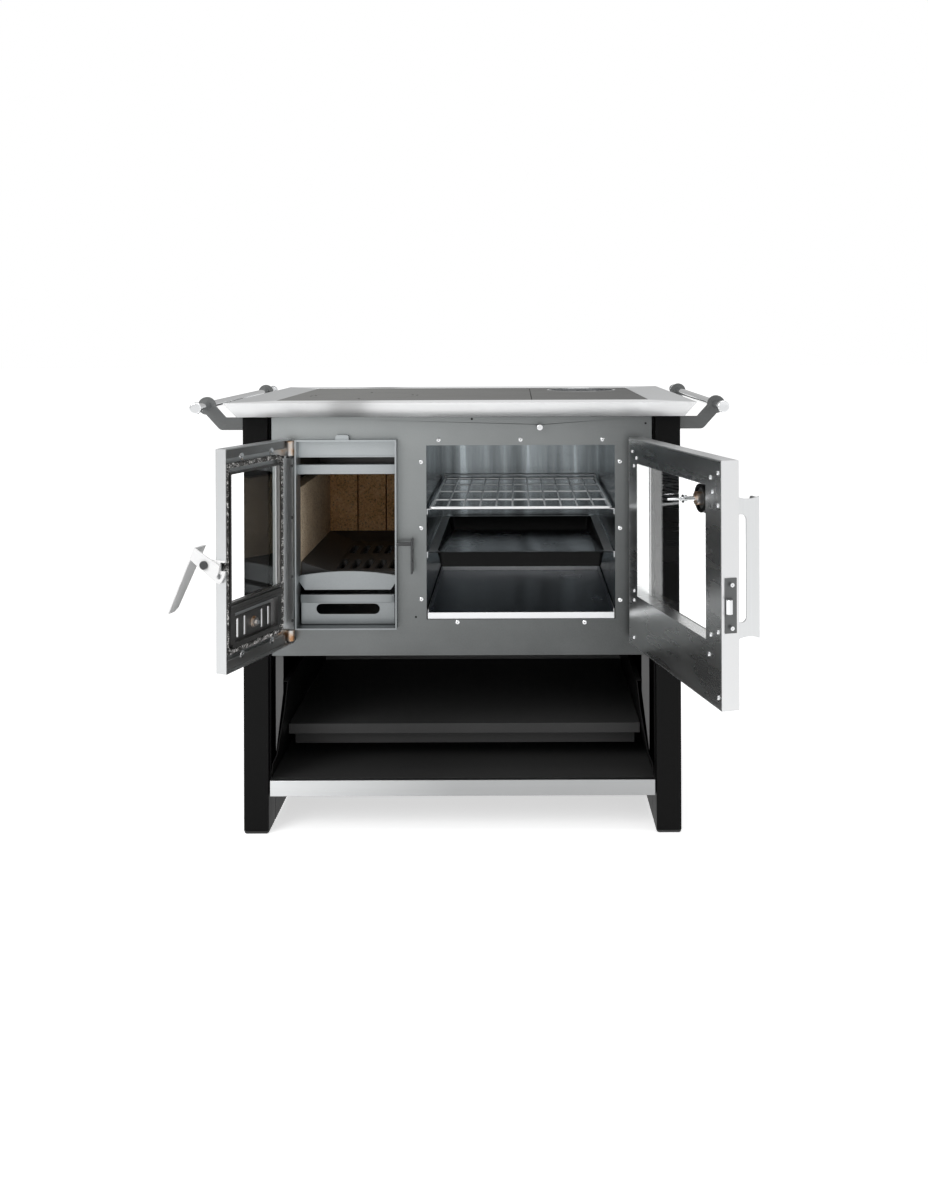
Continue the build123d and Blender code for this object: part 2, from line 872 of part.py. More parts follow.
# Ash drawer: an open box with a slotted face and a lip to pull
ash_x = (inner_x[0] + ash_side_gap, inner_x[1] - ash_side_gap)
ash_face_back = plate_sheet - guard_setback
ash_back = plate_back_y - lining_back_y + ash_back_gap
ash_lip_top = collar_bottom + ash_lip_rise
with BuildPart() as ash_drawer:
    slab(front, ash_x, (ash_bottom, ash_bottom + ash_wall_height), (ash_back, ash_face_back))
    slab(
        front,
        (ash_x[0] + ash_sheet, ash_x[1] - ash_sheet),
        (ash_bottom + ash_sheet, ash_bottom + ash_wall_height + overrun),
        (ash_back + ash_sheet, ash_face_back - ash_sheet),
        Mode.SUBTRACT,
    )
    slab(front, ash_x, (ash_bottom, ash_lip_top), (ash_face_back - ash_sheet, ash_face_back))
    slab(
        front,
        ash_x,
        (ash_lip_top - ash_lip_height, ash_lip_top),
        (ash_face_back, ash_face_back + ash_lip_reach),
    )
    with BuildSketch(front.offset(ash_face_back - 2 * ash_sheet)):
        with Locations(((ash_x[0] + ash_x[1]) / 2, collar_bottom + ash_slot_rise)):
            SlotOverall(ash_x[1] - ash_x[0] - 2 * ash_slot_margin, ash_slot_height)
    extrude(amount=2 * ash_sheet + overrun, mode=Mode.SUBTRACT)
finish("ash_drawer", ash_drawer)

# Oven: a polished liner with ledges for the rack, the tray and the pan
with BuildPart() as oven_liner:
    slab(
        floor,
        (oven_left - liner_sheet, oven_right + liner_sheet),
        (plate_back_y, oven_back_y + liner_sheet),
        (oven_bottom - liner_sheet, oven_top + liner_sheet),
    )
    slab(
        front,
        (oven_left - liner_flange, oven_right + liner_flange),
        (oven_bottom - liner_flange, oven_top + liner_flange),
        (-liner_sheet, 0),
    )
    slab(
        floor,
        (oven_left, oven_right),
        (plate_back_y - overrun, oven_back_y),
        (oven_bottom, oven_top),
        Mode.SUBTRACT,
    )
finish("oven_liner", oven_liner)

rack_wire_z = oven_top - rack_drop
tray_rim_top = oven_top - tray_drop
rack_ledge_z = rack_wire_z - rack_frame_radius - shelf_fit
tray_ledge_z = tray_rim_top - tray_sheet - shelf_fit
ledge_y = (plate_back_y + ledge_width, oven_back_y)
with BuildPart() as oven_ledges:
    for ledge_z in (rack_ledge_z, tray_ledge_z):
        slab(
            floor,
            (oven_left, oven_left + ledge_width),
            ledge_y,
            (ledge_z - runner_thick, ledge_z),
        )
        slab(
            floor,
            (oven_right - ledge_width, oven_right),
            ledge_y,
            (ledge_z - runner_thick, ledge_z),
        )
        slab(
            floor,
            (oven_left, oven_left + runner_thick),
            ledge_y,
            (ledge_z - ledge_width, ledge_z),
        )
        slab(
            floor,
            (oven_right - runner_thick, oven_right),
            ledge_y,
            (ledge_z - ledge_width, ledge_z),
        )
finish("oven_ledges", oven_ledges)

# Oven rack: a wire frame with fore-and-aft wires, cross wires and a raised stop
rack_x = (oven_left + rack_side_gap + rack_frame_radius, oven_right - rack_side_gap - rack_frame_radius)
rack_front_y = plate_y + tray_front_gap + rack_frame_radius
rack_back_y = oven_back_y - tray_front_gap - rack_frame_radius
across_rack = Plane(origin=(0, 0, rack_wire_z), x_dir=(0, 1, 0), z_dir=(1, 0, 0))
along_rack = Plane(origin=(0, 0, rack_wire_z), x_dir=(1, 0, 0), z_dir=(0, -1, 0))
with BuildPart() as oven_rack:
    for wire_y in (rack_front_y, rack_back_y):
        post(across_rack, (wire_y, 0), rack_frame_radius, rack_x)
    for wire_x in rack_x:
        post(along_rack, (wire_x, 0), rack_frame_radius, (-rack_back_y, -rack_front_y))
        with Locations((wire_x, rack_front_y, rack_wire_z), (wire_x, rack_back_y, rack_wire_z)):
            Sphere(rack_frame_radius)
    rack_pitch = (rack_x[1] - rack_x[0]) / (rack_wire_count + 1)
    for wire in range(1, rack_wire_count + 1):
        wire_x = rack_x[0] + wire * rack_pitch
        post(along_rack, (wire_x, 0), rack_wire_radius, (-rack_back_y, -rack_front_y))
    for share in rack_cross_shares:
        wire_y = rack_front_y + share * (rack_back_y - rack_front_y)
        post(across_rack, (wire_y, 0), rack_wire_radius, rack_x)
    post(across_rack, (rack_back_y, rack_stop_rise), rack_wire_radius, rack_x)
    for wire_x in rack_x:
        post(
            floor,
            (wire_x, rack_back_y),
            rack_wire_radius,
            (rack_wire_z, rack_wire_z + rack_stop_rise + rack_wire_radius),
        )
finish("oven_rack", oven_rack)

# Baking tray and drip pan
tray_x = (oven_left + tray_side_gap, oven_right - tray_side_gap)
tray_y = (plate_y + tray_front_gap, oven_back_y - tray_back_gap)
tray_middle = ((tray_x[0] + tray_x[1]) / 2, (tray_y[0] + tray_y[1]) / 2)
well_width = tray_x[1] - tray_x[0] - 2 * tray_flange
well_length = tray_y[1] - tray_y[0] - 2 * tray_end_flange
with BuildPart() as baking_tray:
    slab(floor, tray_x, tray_y, (tray_rim_top - tray_sheet, tray_rim_top))
    with BuildSketch(floor.offset(tray_rim_top)):
        with Locations(tray_middle):
            RectangleRounded(well_width, well_length, tray_corner)
    extrude(amount=-tray_deep, taper=tray_taper)
    with BuildSketch(floor.offset(tray_rim_top)):
        with Locations(tray_middle):
            RectangleRounded(
                well_width - 2 * tray_sheet, well_length - 2 * tray_sheet, tray_corner - tray_sheet
            )
    extrude(amount=tray_sheet - tray_deep, taper=tray_taper, mode=Mode.SUBTRACT)
finish("baking_tray", baking_tray)

pan_x = (oven_left + pan_side_gap, oven_right - pan_side_gap)
pan_y = (plate_y + tray_front_gap, oven_back_y - pan_back_gap)
pan_z = (oven_bottom + shelf_fit, oven_bottom + pan_rise)
pan_front_top = pan_z[1] - pan_front_drop
with BuildPart() as drip_pan:
    slab(floor, pan_x, pan_y, pan_z)
    slab(
        floor,
        (pan_x[0] + pan_sheet, pan_x[1] - pan_sheet),
        (pan_y[0] + pan_sheet, pan_y[1] - pan_sheet),
        (pan_z[0] + pan_sheet, pan_z[1] + overrun),
        Mode.SUBTRACT,
    )
    slab(floor, pan_x, (pan_y[0], pan_y[0] + pan_lip), (pan_front_top - pan_sheet, pan_front_top))
    slab(
        floor,
        (pan_x[0] - overrun, pan_x[1] + overrun),
        (pan_y[0] - overrun, pan_y[0] + 2 * pan_sheet),
        (pan_front_top, pan_z[1] + overrun),
        Mode.SUBTRACT,
    )
finish("drip_pan", drip_pan)

# Smoke path: a plate with a port over the oven, and the damper that slides over it
damper_plate_y = cabinet_back_y - damper_back_inset
gas_plate_z = oven_top + gas_plate_rise
port_x = (damper_x - gas_port_width / 2, damper_x + gas_port_width / 2)
port_y = (damper_plate_y - gas_port_depth / 2, damper_plate_y + gas_port_depth / 2)
with BuildPart() as gas_plate:
    slab(
        floor,
        (housing_x[1] + housing_sheet, side_inner_x),
        (plate_back_y + liner_flange, cabinet_back_y),
        (gas_plate_z, gas_plate_z + gas_plate_thick),
    )
    slab(
        floor,
        port_x,
        port_y,
        (gas_plate_z - overrun, gas_plate_z + gas_plate_thick + overrun),
        Mode.SUBTRACT,
    )
finish("gas_plate", gas_plate)

damper_plate_x = (damper_x - damper_plate_width / 2, damper_x + damper_plate_width / 2)
damper_plate_span = (damper_plate_y - damper_plate_depth / 2, damper_plate_y + damper_plate_depth / 2)
damper_seat = gas_plate_z + gas_plate_thick + shelf_fit
with BuildPart() as damper_plate:
    slab(floor, damper_plate_x, damper_plate_span, (damper_seat, damper_seat + damper_plate_thick))
    slab(
        floor,
        (damper_x - damper_upstand_half, damper_x + damper_upstand_half),
        (damper_plate_span[0], damper_plate_span[0] + damper_plate_thick),
        (damper_seat, damper_z + damper_rod_radius * 2),
    )
finish("damper_plate", damper_plate)

rod_line = Plane(origin=(damper_x, 0, damper_z), x_dir=(1, 0, 0), z_dir=(0, -1, 0))
rod_front = -plate_y + damper_knob_gap
with BuildPart() as damper_rod:
    post(rod_line, (0, 0), damper_rod_radius, (-damper_plate_span[0], rod_front))
finish("damper_rod", damper_rod)

with BuildPart() as damper_knob:
    post(rod_line, (0, 0), damper_knob_radius, (rod_front, rod_front + damper_knob_length))
    fillet(damper_knob.edges().filter_by(GeomType.CIRCLE), damper_knob_round)
finish("damper_knob", damper_knob)

# Wood store: bottom shelf with a stainless trim, middle shelf, side guards and hanging straps
shelf_trim_half = leg_inner_x - shelf_trim_gap
with BuildPart() as shelf_trim:
    slab(
        floor,
        (-shelf_trim_half, shelf_trim_half),
        (leg_front_y, leg_front_y + trim_sheet),
        (shelf_trim_bottom, shelf_trim_top),
    )
    for z_place in (shelf_trim_bottom, shelf_trim_top - trim_sheet):
        slab(
            floor,
            (-shelf_trim_half, shelf_trim_half),
            (leg_front_y, leg_front_y + shelf_rear_gap),
            (z_place, z_place + trim_sheet),
        )
    fillet(shelf_trim.edges().filter_by(Axis.X).group_by(Axis.Y)[0], trim_round)
finish("shelf_trim", shelf_trim)

shelf_front_y = leg_front_y + shelf_rear_gap
with BuildPart() as bottom_shelf:
    slab(
        floor,
        (-leg_inner_x, leg_inner_x),
        (shelf_front_y, cabinet_back_y),
        (shelf_trim_bottom, shelf_trim_top),
    )
    slab(
        floor,
        (-leg_inner_x + shelf_sheet, leg_inner_x - shelf_sheet),
        (shelf_front_y + shelf_sheet, cabinet_back_y - shelf_sheet),
        (shelf_trim_bottom - overrun, shelf_trim_top - shelf_sheet),
        Mode.SUBTRACT,
    )
finish("bottom_shelf", bottom_shelf)

mid_front_y = plate_y + mid_shelf_front
mid_x = (-mid_shelf_half, mid_shelf_half)
stiffener_x = (stiffener_gap - leg_inner_x, leg_inner_x - stiffener_gap)
stiffener_bottom = shelf_trim_top + stiffener_share * store_rise
stiffener_y = mid_front_y + stiffener_setback
with BuildPart() as middle_shelf:
    slab(floor, mid_x, (mid_front_y, cabinet_back_y), (mid_shelf_top - mid_shelf_sheet, mid_shelf_top))
    slab(
        floor,
        mid_x,
        (mid_front_y, mid_front_y + mid_shelf_sheet),
        (mid_shelf_top - mid_shelf_lip, mid_shelf_top),
    )
    slab(
        floor,
        stiffener_x,
        (stiffener_y, stiffener_y + mid_shelf_sheet),
        (stiffener_bottom, mid_shelf_top),
    )
    slab(
        floor,
        stiffener_x,
        (stiffener_y, stiffener_y + stiffener_flange),
        (stiffener_bottom, stiffener_bottom + mid_shelf_sheet),
    )
finish("middle_shelf", middle_shelf)

side_guard_insets = (
    guard_top_inset,
    guard_bend_inset,
    guard_low_inset,
    guard_foot_inset,
    guard_end_inset,
)
guard_points = []
for inset, rise_share in zip(side_guard_insets, side_guard_shares):
    guard_points.append((leg_inner_x - inset, shelf_trim_top + rise_share * store_rise))
guard_backs = [(x + side_guard_sheet, z) for x, z in reversed(guard_points)]
guard_top = guard_points[0]
with BuildPart() as side_guards:
    with BuildSketch(Plane.XZ.offset(-leg_front_y)):
        with BuildLine():
            Polyline(*guard_points, *guard_backs, close=True)
        make_face()
        with Locations((guard_top[0] + side_guard_flange / 2, guard_top[1] - side_guard_sheet / 2)):
            Rectangle(side_guard_flange, side_guard_sheet)
        mirror(about=Plane.YZ)
    extrude(amount=leg_front_y - cabinet_back_y)
finish("side_guards", side_guards)

strap_outer_x = leg_inner_x - strap_gap
strap_inner_x = strap_outer_x - strap_width
strap_foot_z = shelf_trim_top + strap_foot_share * store_rise
with BuildPart() as hanger_straps:
    with BuildSketch(Plane.XZ.offset(-plate_back_y)):
        with BuildLine():
            Polyline(
                (strap_outer_x, cabinet_bottom),
                (strap_inner_x, cabinet_bottom),
                (strap_inner_x, shelf_trim_top + strap_turn_share * store_rise),
                (strap_outer_x - strap_clear, strap_foot_z),
                (strap_outer_x, strap_foot_z),
                close=True,
            )
        make_face()
        mirror(about=Plane.YZ)
    extrude(amount=-side_sheet)
finish("hanger_straps", hanger_straps)

# Fire door: skin and rim in one tray, with its hinge edge at the pin
fire_span = (0, fire_width)
door_z = (door_bottom, door_top)
fire_inner = fire_inner_off - fire_pivot_off
fire_outer = fire_inner + fire_thick
fire_skin = fire_outer - door_sheet
window_x = (fire_window_side, fire_width - fire_window_side)
window_z = (door_bottom + fire_window_rise, door_top - fire_window_drop)
hinge_high_top = door_top - hinge_high_drop
hinge_low_bottom = door_bottom + hinge_low_rise
hinge_spans = (
    (hinge_high_top - hinge_high_length, hinge_high_top),
    (hinge_low_bottom, hinge_low_bottom + hinge_low_length),
)
lug_spans = [(low - lug_gap - lug_thick, low - lug_gap) for low, high in hinge_spans]
air_slot_z = door_bottom + air_slot_rise
air_slot_x = [fire_width / 2 + share * fire_width for share in air_slot_shares]
slide_x = (air_slot_x[0] - air_plate_margin, air_slot_x[-1] + air_plate_margin)
slide_reach = air_travel + slide_clear
stem_slot_height = 2 * (air_stem_radius + air_stem_fit)
with BuildPart() as fire_door_shell:
    slab(fire_face, fire_span, door_z, (fire_inner, fire_outer))
    slab(
        fire_face,
        (door_sheet, fire_width - door_sheet),
        (door_bottom + door_sheet, door_top - door_sheet),
        (fire_inner - overrun, fire_skin),
        Mode.SUBTRACT,
    )
    slab(fire_face, window_x, window_z, (fire_skin - overrun, fire_outer + overrun), Mode.SUBTRACT)
    for knuckle, lug in zip(hinge_spans, lug_spans):
        slab(
            fire_face,
            (-overrun, door_sheet + overrun),
            (lug[0] - hinge_notch_clear, knuckle[1] + hinge_notch_clear),
            (fire_inner - overrun, fire_skin),
            Mode.SUBTRACT,
        )
    slab(
        fire_face,
        (fire_width - 2 * door_sheet, fire_width + overrun),
        (keeper_pin_z - notch_half, keeper_pin_z + notch_half),
        (fire_inner - overrun, fire_inner + notch_depth),
        Mode.SUBTRACT,
    )
    with BuildSketch(fire_face.offset(fire_skin)):
        with Locations([(slot_x, air_slot_z) for slot_x in air_slot_x]):
            SlotOverall(air_slot_height, air_slot_width, rotation=90)
        with Locations((fire_width / 2 - air_travel / 2, air_slot_z)):
            SlotOverall(stem_slot_height + air_travel, stem_slot_height)
    extrude(amount=door_sheet + overrun, mode=Mode.SUBTRACT)
    fillet(fire_door_shell.faces().sort_by(SortBy.AREA)[-1].outer_wire().edges(), door_round)
finish("fire_door_shell", fire_door_shell)

glass_x = (window_x[0] - glass_lap, window_x[1] + glass_lap)
glass_z = (window_z[0] - glass_lap, window_z[1] + glass_lap)
glass_inner = fire_skin - glass_thick
with BuildPart() as fire_door_glass:
    slab(fire_face, glass_x, glass_z, (glass_inner, fire_skin))
finish("fire_door_glass", fire_door_glass)

# Inside frame: a channel round the window, a ridged bar under it and strips round the air slide
rope_x = (rope_side, fire_width - rope_side)
rope_z = (door_bottom + rope_rise, door_top - rope_drop)
frame_x = (rope_x[0] + rope_radius + inner_frame_gap, rope_x[1] - rope_radius - inner_frame_gap)
frame_z = (window_z[0] - inner_frame_lap, window_z[1] + inner_frame_lap)
frame_low_z = rope_z[0] + rope_radius + inner_frame_gap
channel_n = (inner_frame_front + inner_frame_sheet, glass_inner + overrun)
ridge_top_z = frame_z[0] - ridge_gap
ridge_low_z = ridge_top_z - ridge_count * ridge_height
ridge_spot = fire_face.from_local_coords((frame_x[0], 0, 0))
ridge_plane = Plane(origin=ridge_spot, x_dir=fire_face.z_dir, z_dir=-fire_face.x_dir)
with BuildPart() as glass_retainer:
    slab(fire_face, frame_x, frame_z, (inner_frame_front, glass_inner))
    slab(
        fire_face,
        (frame_x[0] + inner_frame_sheet, frame_x[1] - inner_frame_sheet),
        (frame_z[0] + inner_frame_sheet, frame_z[1] - inner_frame_sheet),
        channel_n,
        Mode.SUBTRACT,
    )
    slab(
        fire_face,
        (window_x[0] - inner_frame_sheet, window_x[1] + inner_frame_sheet),
        (window_z[0] - inner_frame_sheet, window_z[1] + inner_frame_sheet),
        (inner_frame_front, glass_inner),
    )
    slab(fire_face, window_x, window_z, (inner_frame_front - overrun, glass_inner + overrun), Mode.SUBTRACT)
    with BuildSketch(ridge_plane):
        with Locations(((ridge_front + fire_skin) / 2, (ridge_low_z + ridge_top_z) / 2)):
            with GridLocations(0, ridge_height, 1, ridge_count):
                RectangleRounded(fire_skin - ridge_front, ridge_height, ridge_round)
    extrude(amount=frame_x[0] - frame_x[1])
    slab(
        fire_face,
        (rope_x[0] + rope_corner, rope_x[1] - rope_corner),
        (frame_low_z, frame_low_z + slide_frame_rise),
        (inner_frame_front, fire_skin),
    )
    for strip_x in (
        (frame_x[0], slide_x[0] - slide_reach),
        (slide_x[1] + slide_reach, frame_x[1]),
    ):
        slab(fire_face, strip_x, (rope_z[0] + rope_corner, ridge_low_z), (inner_frame_front, fire_skin))
finish("glass_retainer", glass_retainer)

with BuildPart() as rope_gasket:
    with BuildLine(fire_face.offset(fire_skin - rope_radius)) as rope_path:
        FilletPolyline(
            (rope_x[0], rope_z[0]),
            (rope_x[1], rope_z[0]),
            (rope_x[1], rope_z[1]),
            (rope_x[0], rope_z[1]),
            radius=rope_corner,
            close=True,
        )
    with BuildSketch(Plane(origin=rope_path.line @ 0, z_dir=rope_path.line % 0)):
        Circle(rope_radius)
    sweep(path=rope_path.line)
finish("rope_gasket", rope_gasket)

# Clamping strips above and below the rope
with BuildPart() as fire_door_strips:
    for strip_z in (door_top - door_sheet - fire_strip_height, door_bottom + door_sheet):
        slab(
            fire_face,
            (rope_x[0] - rope_radius, rope_x[1] + rope_radius),
            (strip_z, strip_z + fire_strip_height),
            (fire_inner + fire_strip_drop, fire_skin),
        )
finish("fire_door_strips", fire_door_strips)

with BuildPart() as fire_door_knuckles:
    for knuckle in hinge_spans:
        post(floor, (fire_pivot_x, fire_face.origin.Y), knuckle_radius, knuckle)
        slab(fire_face, (0, knuckle_radius), knuckle, (0, fire_skin))
        post(
            floor,
            (fire_pivot_x, fire_face.origin.Y),
            hinge_pin_radius + hinge_fit,
            (knuckle[0] - overrun, knuckle[1] + overrun),
            Mode.SUBTRACT,
        )
finish("fire_door_knuckles", fire_door_knuckles)

# Hinge brackets on the cabinet, each a lug with its pin
oven_pivot_y = oven_face.origin.Y
with BuildPart() as hinge_brackets:
    for pivot_x, pivot_y in ((fire_pivot_x, fire_face.origin.Y), (oven_pivot_x, oven_pivot_y)):
        for knuckle, lug in zip(hinge_spans, lug_spans):
            slab(floor, (pivot_x - lug_half, pivot_x + lug_half), (pivot_y, plate_y), lug)
            post(floor, (pivot_x, pivot_y), lug_half, lug)
            post(floor, (pivot_x, pivot_y), hinge_pin_radius, (lug[1], knuckle[1]))
finish("hinge_brackets", hinge_brackets)

# Air slide behind the slots, moved by a knob through the skin
slide_half = air_slot_height / 2 + air_plate_rise
slide_z = (air_slot_z - slide_half, air_slot_z + slide_half)
knob_base = fire_outer + air_knob_gap
knob_order = Axis(origin=fire_face.origin, direction=fire_face.z_dir)
with BuildPart() as air_slide:
    slab(fire_face, slide_x, slide_z, (fire_skin - air_plate_thick, fire_skin))
    with BuildSketch(fire_face.offset(fire_skin - air_plate_thick)):
        with Locations([(slot_x, air_slot_z) for slot_x in air_slot_x]):
            SlotOverall(air_slot_height, air_slot_width, rotation=90)
    extrude(amount=air_plate_thick + overrun, mode=Mode.SUBTRACT)
    post(fire_face, (fire_width / 2, air_slot_z), air_stem_radius, (fire_skin, knob_base + air_knob_gap))
    post(
        fire_face,
        (fire_width / 2, air_slot_z),
        air_knob_radius,
        (knob_base, knob_base + air_knob_length),
    )
    fillet(air_slide.faces().filter_by(fire_face).sort_by(knob_order)[-1].edges(), air_knob_round)
finish("air_slide", air_slide)

# Latch: a hook whose throat is concentric with its pivot closes round the keeper pin
lever_off = fire_outer + lever_pivot_out
lever_u = fire_width + lever_bracket_thick + lever_gap
lever_spot = fire_face.from_local_coords((lever_u, 0, 0))
lever_plane = Plane(origin=lever_spot, x_dir=fire_face.z_dir, z_dir=-fire_face.x_dir)
with BuildPart() as lever_bracket:
    with BuildSketch(lever_plane.offset(lever_u - fire_width)):
        with BuildLine():
            Polyline(
                (fire_inner, lever_pivot_z - lever_bracket_below),
                (lever_off, lever_pivot_z - lever_bracket_radius),
                (lever_off, lever_pivot_z + lever_bracket_radius),
                (fire_inner, lever_pivot_z + lever_bracket_above),
                close=True,
            )
        make_face()
        with Locations((lever_off, lever_pivot_z)):
            Circle(lever_bracket_radius)
            Circle(lever_bolt_radius, mode=Mode.SUBTRACT)
        with Locations((fire_inner, keeper_pin_z)):
            Rectangle(2 * notch_depth, 2 * notch_half, mode=Mode.SUBTRACT)
    extrude(amount=-lever_bracket_thick)
finish("lever_bracket", lever_bracket)

pin_dx = lever_off + fire_pivot_off - keeper_pin_off
pin_dz = keeper_pin_z - lever_pivot_z
throat_radius = (pin_dx**2 + pin_dz**2) ** 0.5


def round_pivot(radius, angle):
    """A point of the lever, by its distance from the pivot and its angle below the inward direction."""
    turn = radians(angle)
    return (lever_off - radius * cos(turn), lever_pivot_z - radius * sin(turn))


inner_radius = throat_radius - throat_half
outer_radius = throat_radius + throat_half
nose_radius = outer_radius + finger_thick
throat_mid = (throat_start + throat_end) / 2
finger_mid = (finger_tip_angle + throat_end) / 2
nose_mid = (finger_tip_angle + nose_end) / 2
close_angle = throat_end + degrees(throat_half / throat_radius)
tip_turn = degrees(finger_round / nose_radius)
lean = radians(lever_lean)
lever_head = (lever_off + lever_head_out, lever_pivot_z + lever_head_up)
lever_corner = (lever_head[0] + lever_side_length * sin(lean), lever_head[1] - lever_side_length * cos(lean))
grip_plane = Plane(
    origin=lever_plane.from_local_coords((*lever_head, -lever_thick)),
    x_dir=lever_plane.x_dir * sin(lean) - lever_plane.y_dir * cos(lean),
    z_dir=-lever_plane.x_dir * cos(lean) - lever_plane.y_dir * sin(lean),
)
with BuildPart() as latch_lever:
    with BuildSketch(lever_plane) as hook:
        with BuildLine():
            ThreePointArc(
                round_pivot(inner_radius, throat_start),
                round_pivot(inner_radius, throat_mid),
                round_pivot(inner_radius, throat_end),
            )
            ThreePointArc(
                round_pivot(inner_radius, throat_end),
                round_pivot(throat_radius, close_angle),
                round_pivot(outer_radius, throat_end),
            )
            ThreePointArc(
                round_pivot(outer_radius, throat_end),
                round_pivot(outer_radius, finger_mid),
                round_pivot(outer_radius, finger_tip_angle),
            )
            ThreePointArc(
                round_pivot(outer_radius, finger_tip_angle),
                round_pivot(outer_radius + finger_thick / 2, finger_tip_angle - tip_turn),
                round_pivot(nose_radius, finger_tip_angle),
            )
            ThreePointArc(
                round_pivot(nose_radius, finger_tip_angle),
                round_pivot(nose_radius, nose_mid),
                round_pivot(nose_radius, nose_end),
            )
            Polyline(
                round_pivot(nose_radius, nose_end),
                round_pivot(inner_radius, heel_angle),
                (lever_off + lever_heel_out, lever_pivot_z - lever_heel_down),
                lever_corner,
                lever_head,
                round_pivot(inner_radius, 0),
                round_pivot(inner_radius, throat_start),
            )
        make_face()
        fillet(hook.vertices().sort_by_distance(lever_corner)[0], lever_side_round)
    extrude(amount=-lever_thick)
    with BuildSketch(grip_plane):
        with BuildLine():
            Polyline(
                (0, 0),
                (0, grip_top_width),
                (grip_length - grip_end_round, grip_end_width),
                (grip_length, grip_end_width - grip_end_round),
                (grip_length, 0),
                close=True,
            )
        make_face()
    extrude(amount=lever_thick)
    with BuildSketch(lever_plane):
        with Locations((lever_off, lever_pivot_z)):
            Circle(lever_bolt_radius + hinge_fit)
    extrude(amount=-lever_thick - overrun, mode=Mode.SUBTRACT)
finish("latch_lever", latch_lever)

with BuildPart() as lever_bolt:
    for radius, start, end in (
        (lever_bolt_radius, -lever_bracket_thick - lever_gap, lever_thick),
        (lever_bolt_head_radius, lever_thick + lug_gap, lever_thick + lug_gap + lever_bolt_head),
        (lever_bolt_radius, lever_thick, lever_thick + lug_gap),
        (lever_bolt_head_radius, -lever_gap, -lug_gap),
    ):
        with BuildSketch(lever_plane.offset(-start)):
            with Locations((lever_off, lever_pivot_z)):
                Circle(radius)
        extrude(amount=start - end)
finish("lever_bolt", lever_bolt)

# Keeper on the cabinet: a pin for the hook, and a windowed flag for the oven door's roller
keeper_plane = Plane(origin=(keeper_x + keeper_thick / 2, plate_y, 0), x_dir=(0, -1, 0), z_dir=(-1, 0, 0))
with BuildPart() as latch_keeper:
    with BuildSketch(keeper_plane):
        with Locations((keeper_reach / 2, (keeper_bottom + keeper_top) / 2)):
            RectangleRounded(keeper_reach, keeper_top - keeper_bottom, keeper_corner)
        with Locations((keeper_corner / 2, (keeper_bottom + keeper_top) / 2)):
            Rectangle(keeper_corner, keeper_top - keeper_bottom)
        with Locations((keeper_reach / 2, keeper_bottom + keeper_window_rise + keeper_window_height / 2)):
            Rectangle(keeper_reach - 2 * keeper_window_inset, keeper_window_height, mode=Mode.SUBTRACT)
    extrude(amount=keeper_thick)
    with BuildSketch(keeper_plane.offset(keeper_thick)):
        with Locations((keeper_pin_off, keeper_pin_z)):
            Circle(keeper_pin_radius)
    extrude(amount=keeper_x - keeper_thick / 2 - collar_right)
finish("latch_keeper", latch_keeper)

# Oven door: its face plane runs from the hinge pin away from the free edge
oven_span = (-oven_edge_gap - oven_width, -oven_edge_gap)
oven_inner = oven_inner_off - oven_pivot_off
oven_outer = oven_inner + oven_thick
oven_skin = oven_outer - door_sheet
oven_window_x = (oven_span[0] + oven_window_free_side, oven_span[1] - oven_window_hinge_side)
oven_window_z = (door_bottom + oven_window_rise, door_top - oven_window_drop)
roller_z = door_bottom + roller_rise
catch_z = door_bottom + catch_rise
catch_x = oven_span[0]
roller_n = roller_off - oven_pivot_off
roller_x = -(oven_pivot_x - (keeper_x + keeper_thick / 2) - roller_radius + roller_bite)
roller_z_span = (roller_z - roller_length / 2, roller_z + roller_length / 2)
roller_pocket_z = (roller_z_span[0] - lug_gap, roller_z_span[1] + lug_gap)
roller_pocket_n = (roller_n - roller_radius - lug_gap, roller_n + roller_radius + lug_gap)
with BuildPart() as oven_door_shell:
    slab(oven_face, oven_span, door_z, (oven_inner, oven_outer))
    slab(
        oven_face,
        (oven_span[0] + door_sheet, oven_span[1] - door_sheet),
        (door_bottom + door_sheet, door_top - door_sheet),
        (oven_inner - overrun, oven_skin),
        Mode.SUBTRACT,
    )
    slab(oven_face, oven_window_x, oven_window_z, (oven_skin - overrun, oven_outer + overrun), Mode.SUBTRACT)
    slab(
        oven_face,
        (catch_x - overrun, catch_x + 2 * door_sheet),
        (roller_pocket_z[0] - ear_thick, roller_pocket_z[1] + ear_thick),
        roller_pocket_n,
        Mode.SUBTRACT,
    )
    fillet(oven_door_shell.faces().sort_by(SortBy.AREA)[-1].outer_wire().edges(), door_round)
finish("oven_door_shell", oven_door_shell)

# Polished inner panel with folded returns round the window
with BuildPart() as oven_door_liner:
    slab(
        oven_face,
        (oven_span[0] + door_sheet, oven_span[1] - door_sheet),
        (door_bottom + door_sheet, door_top - door_sheet),
        (oven_inner, oven_inner + liner_plate_sheet),
    )
    slab(
        oven_face,
        (oven_window_x[0] - window_frame_sheet, oven_window_x[1] + window_frame_sheet),
        (oven_window_z[0] - window_frame_sheet, oven_window_z[1] + window_frame_sheet),
        (oven_inner, oven_skin - oven_glass_thick),
    )
    slab(
        oven_face,
        oven_window_x,
        oven_window_z,
        (oven_inner - overrun, oven_skin + overrun),
        Mode.SUBTRACT,
    )
finish("oven_door_liner", oven_door_liner)

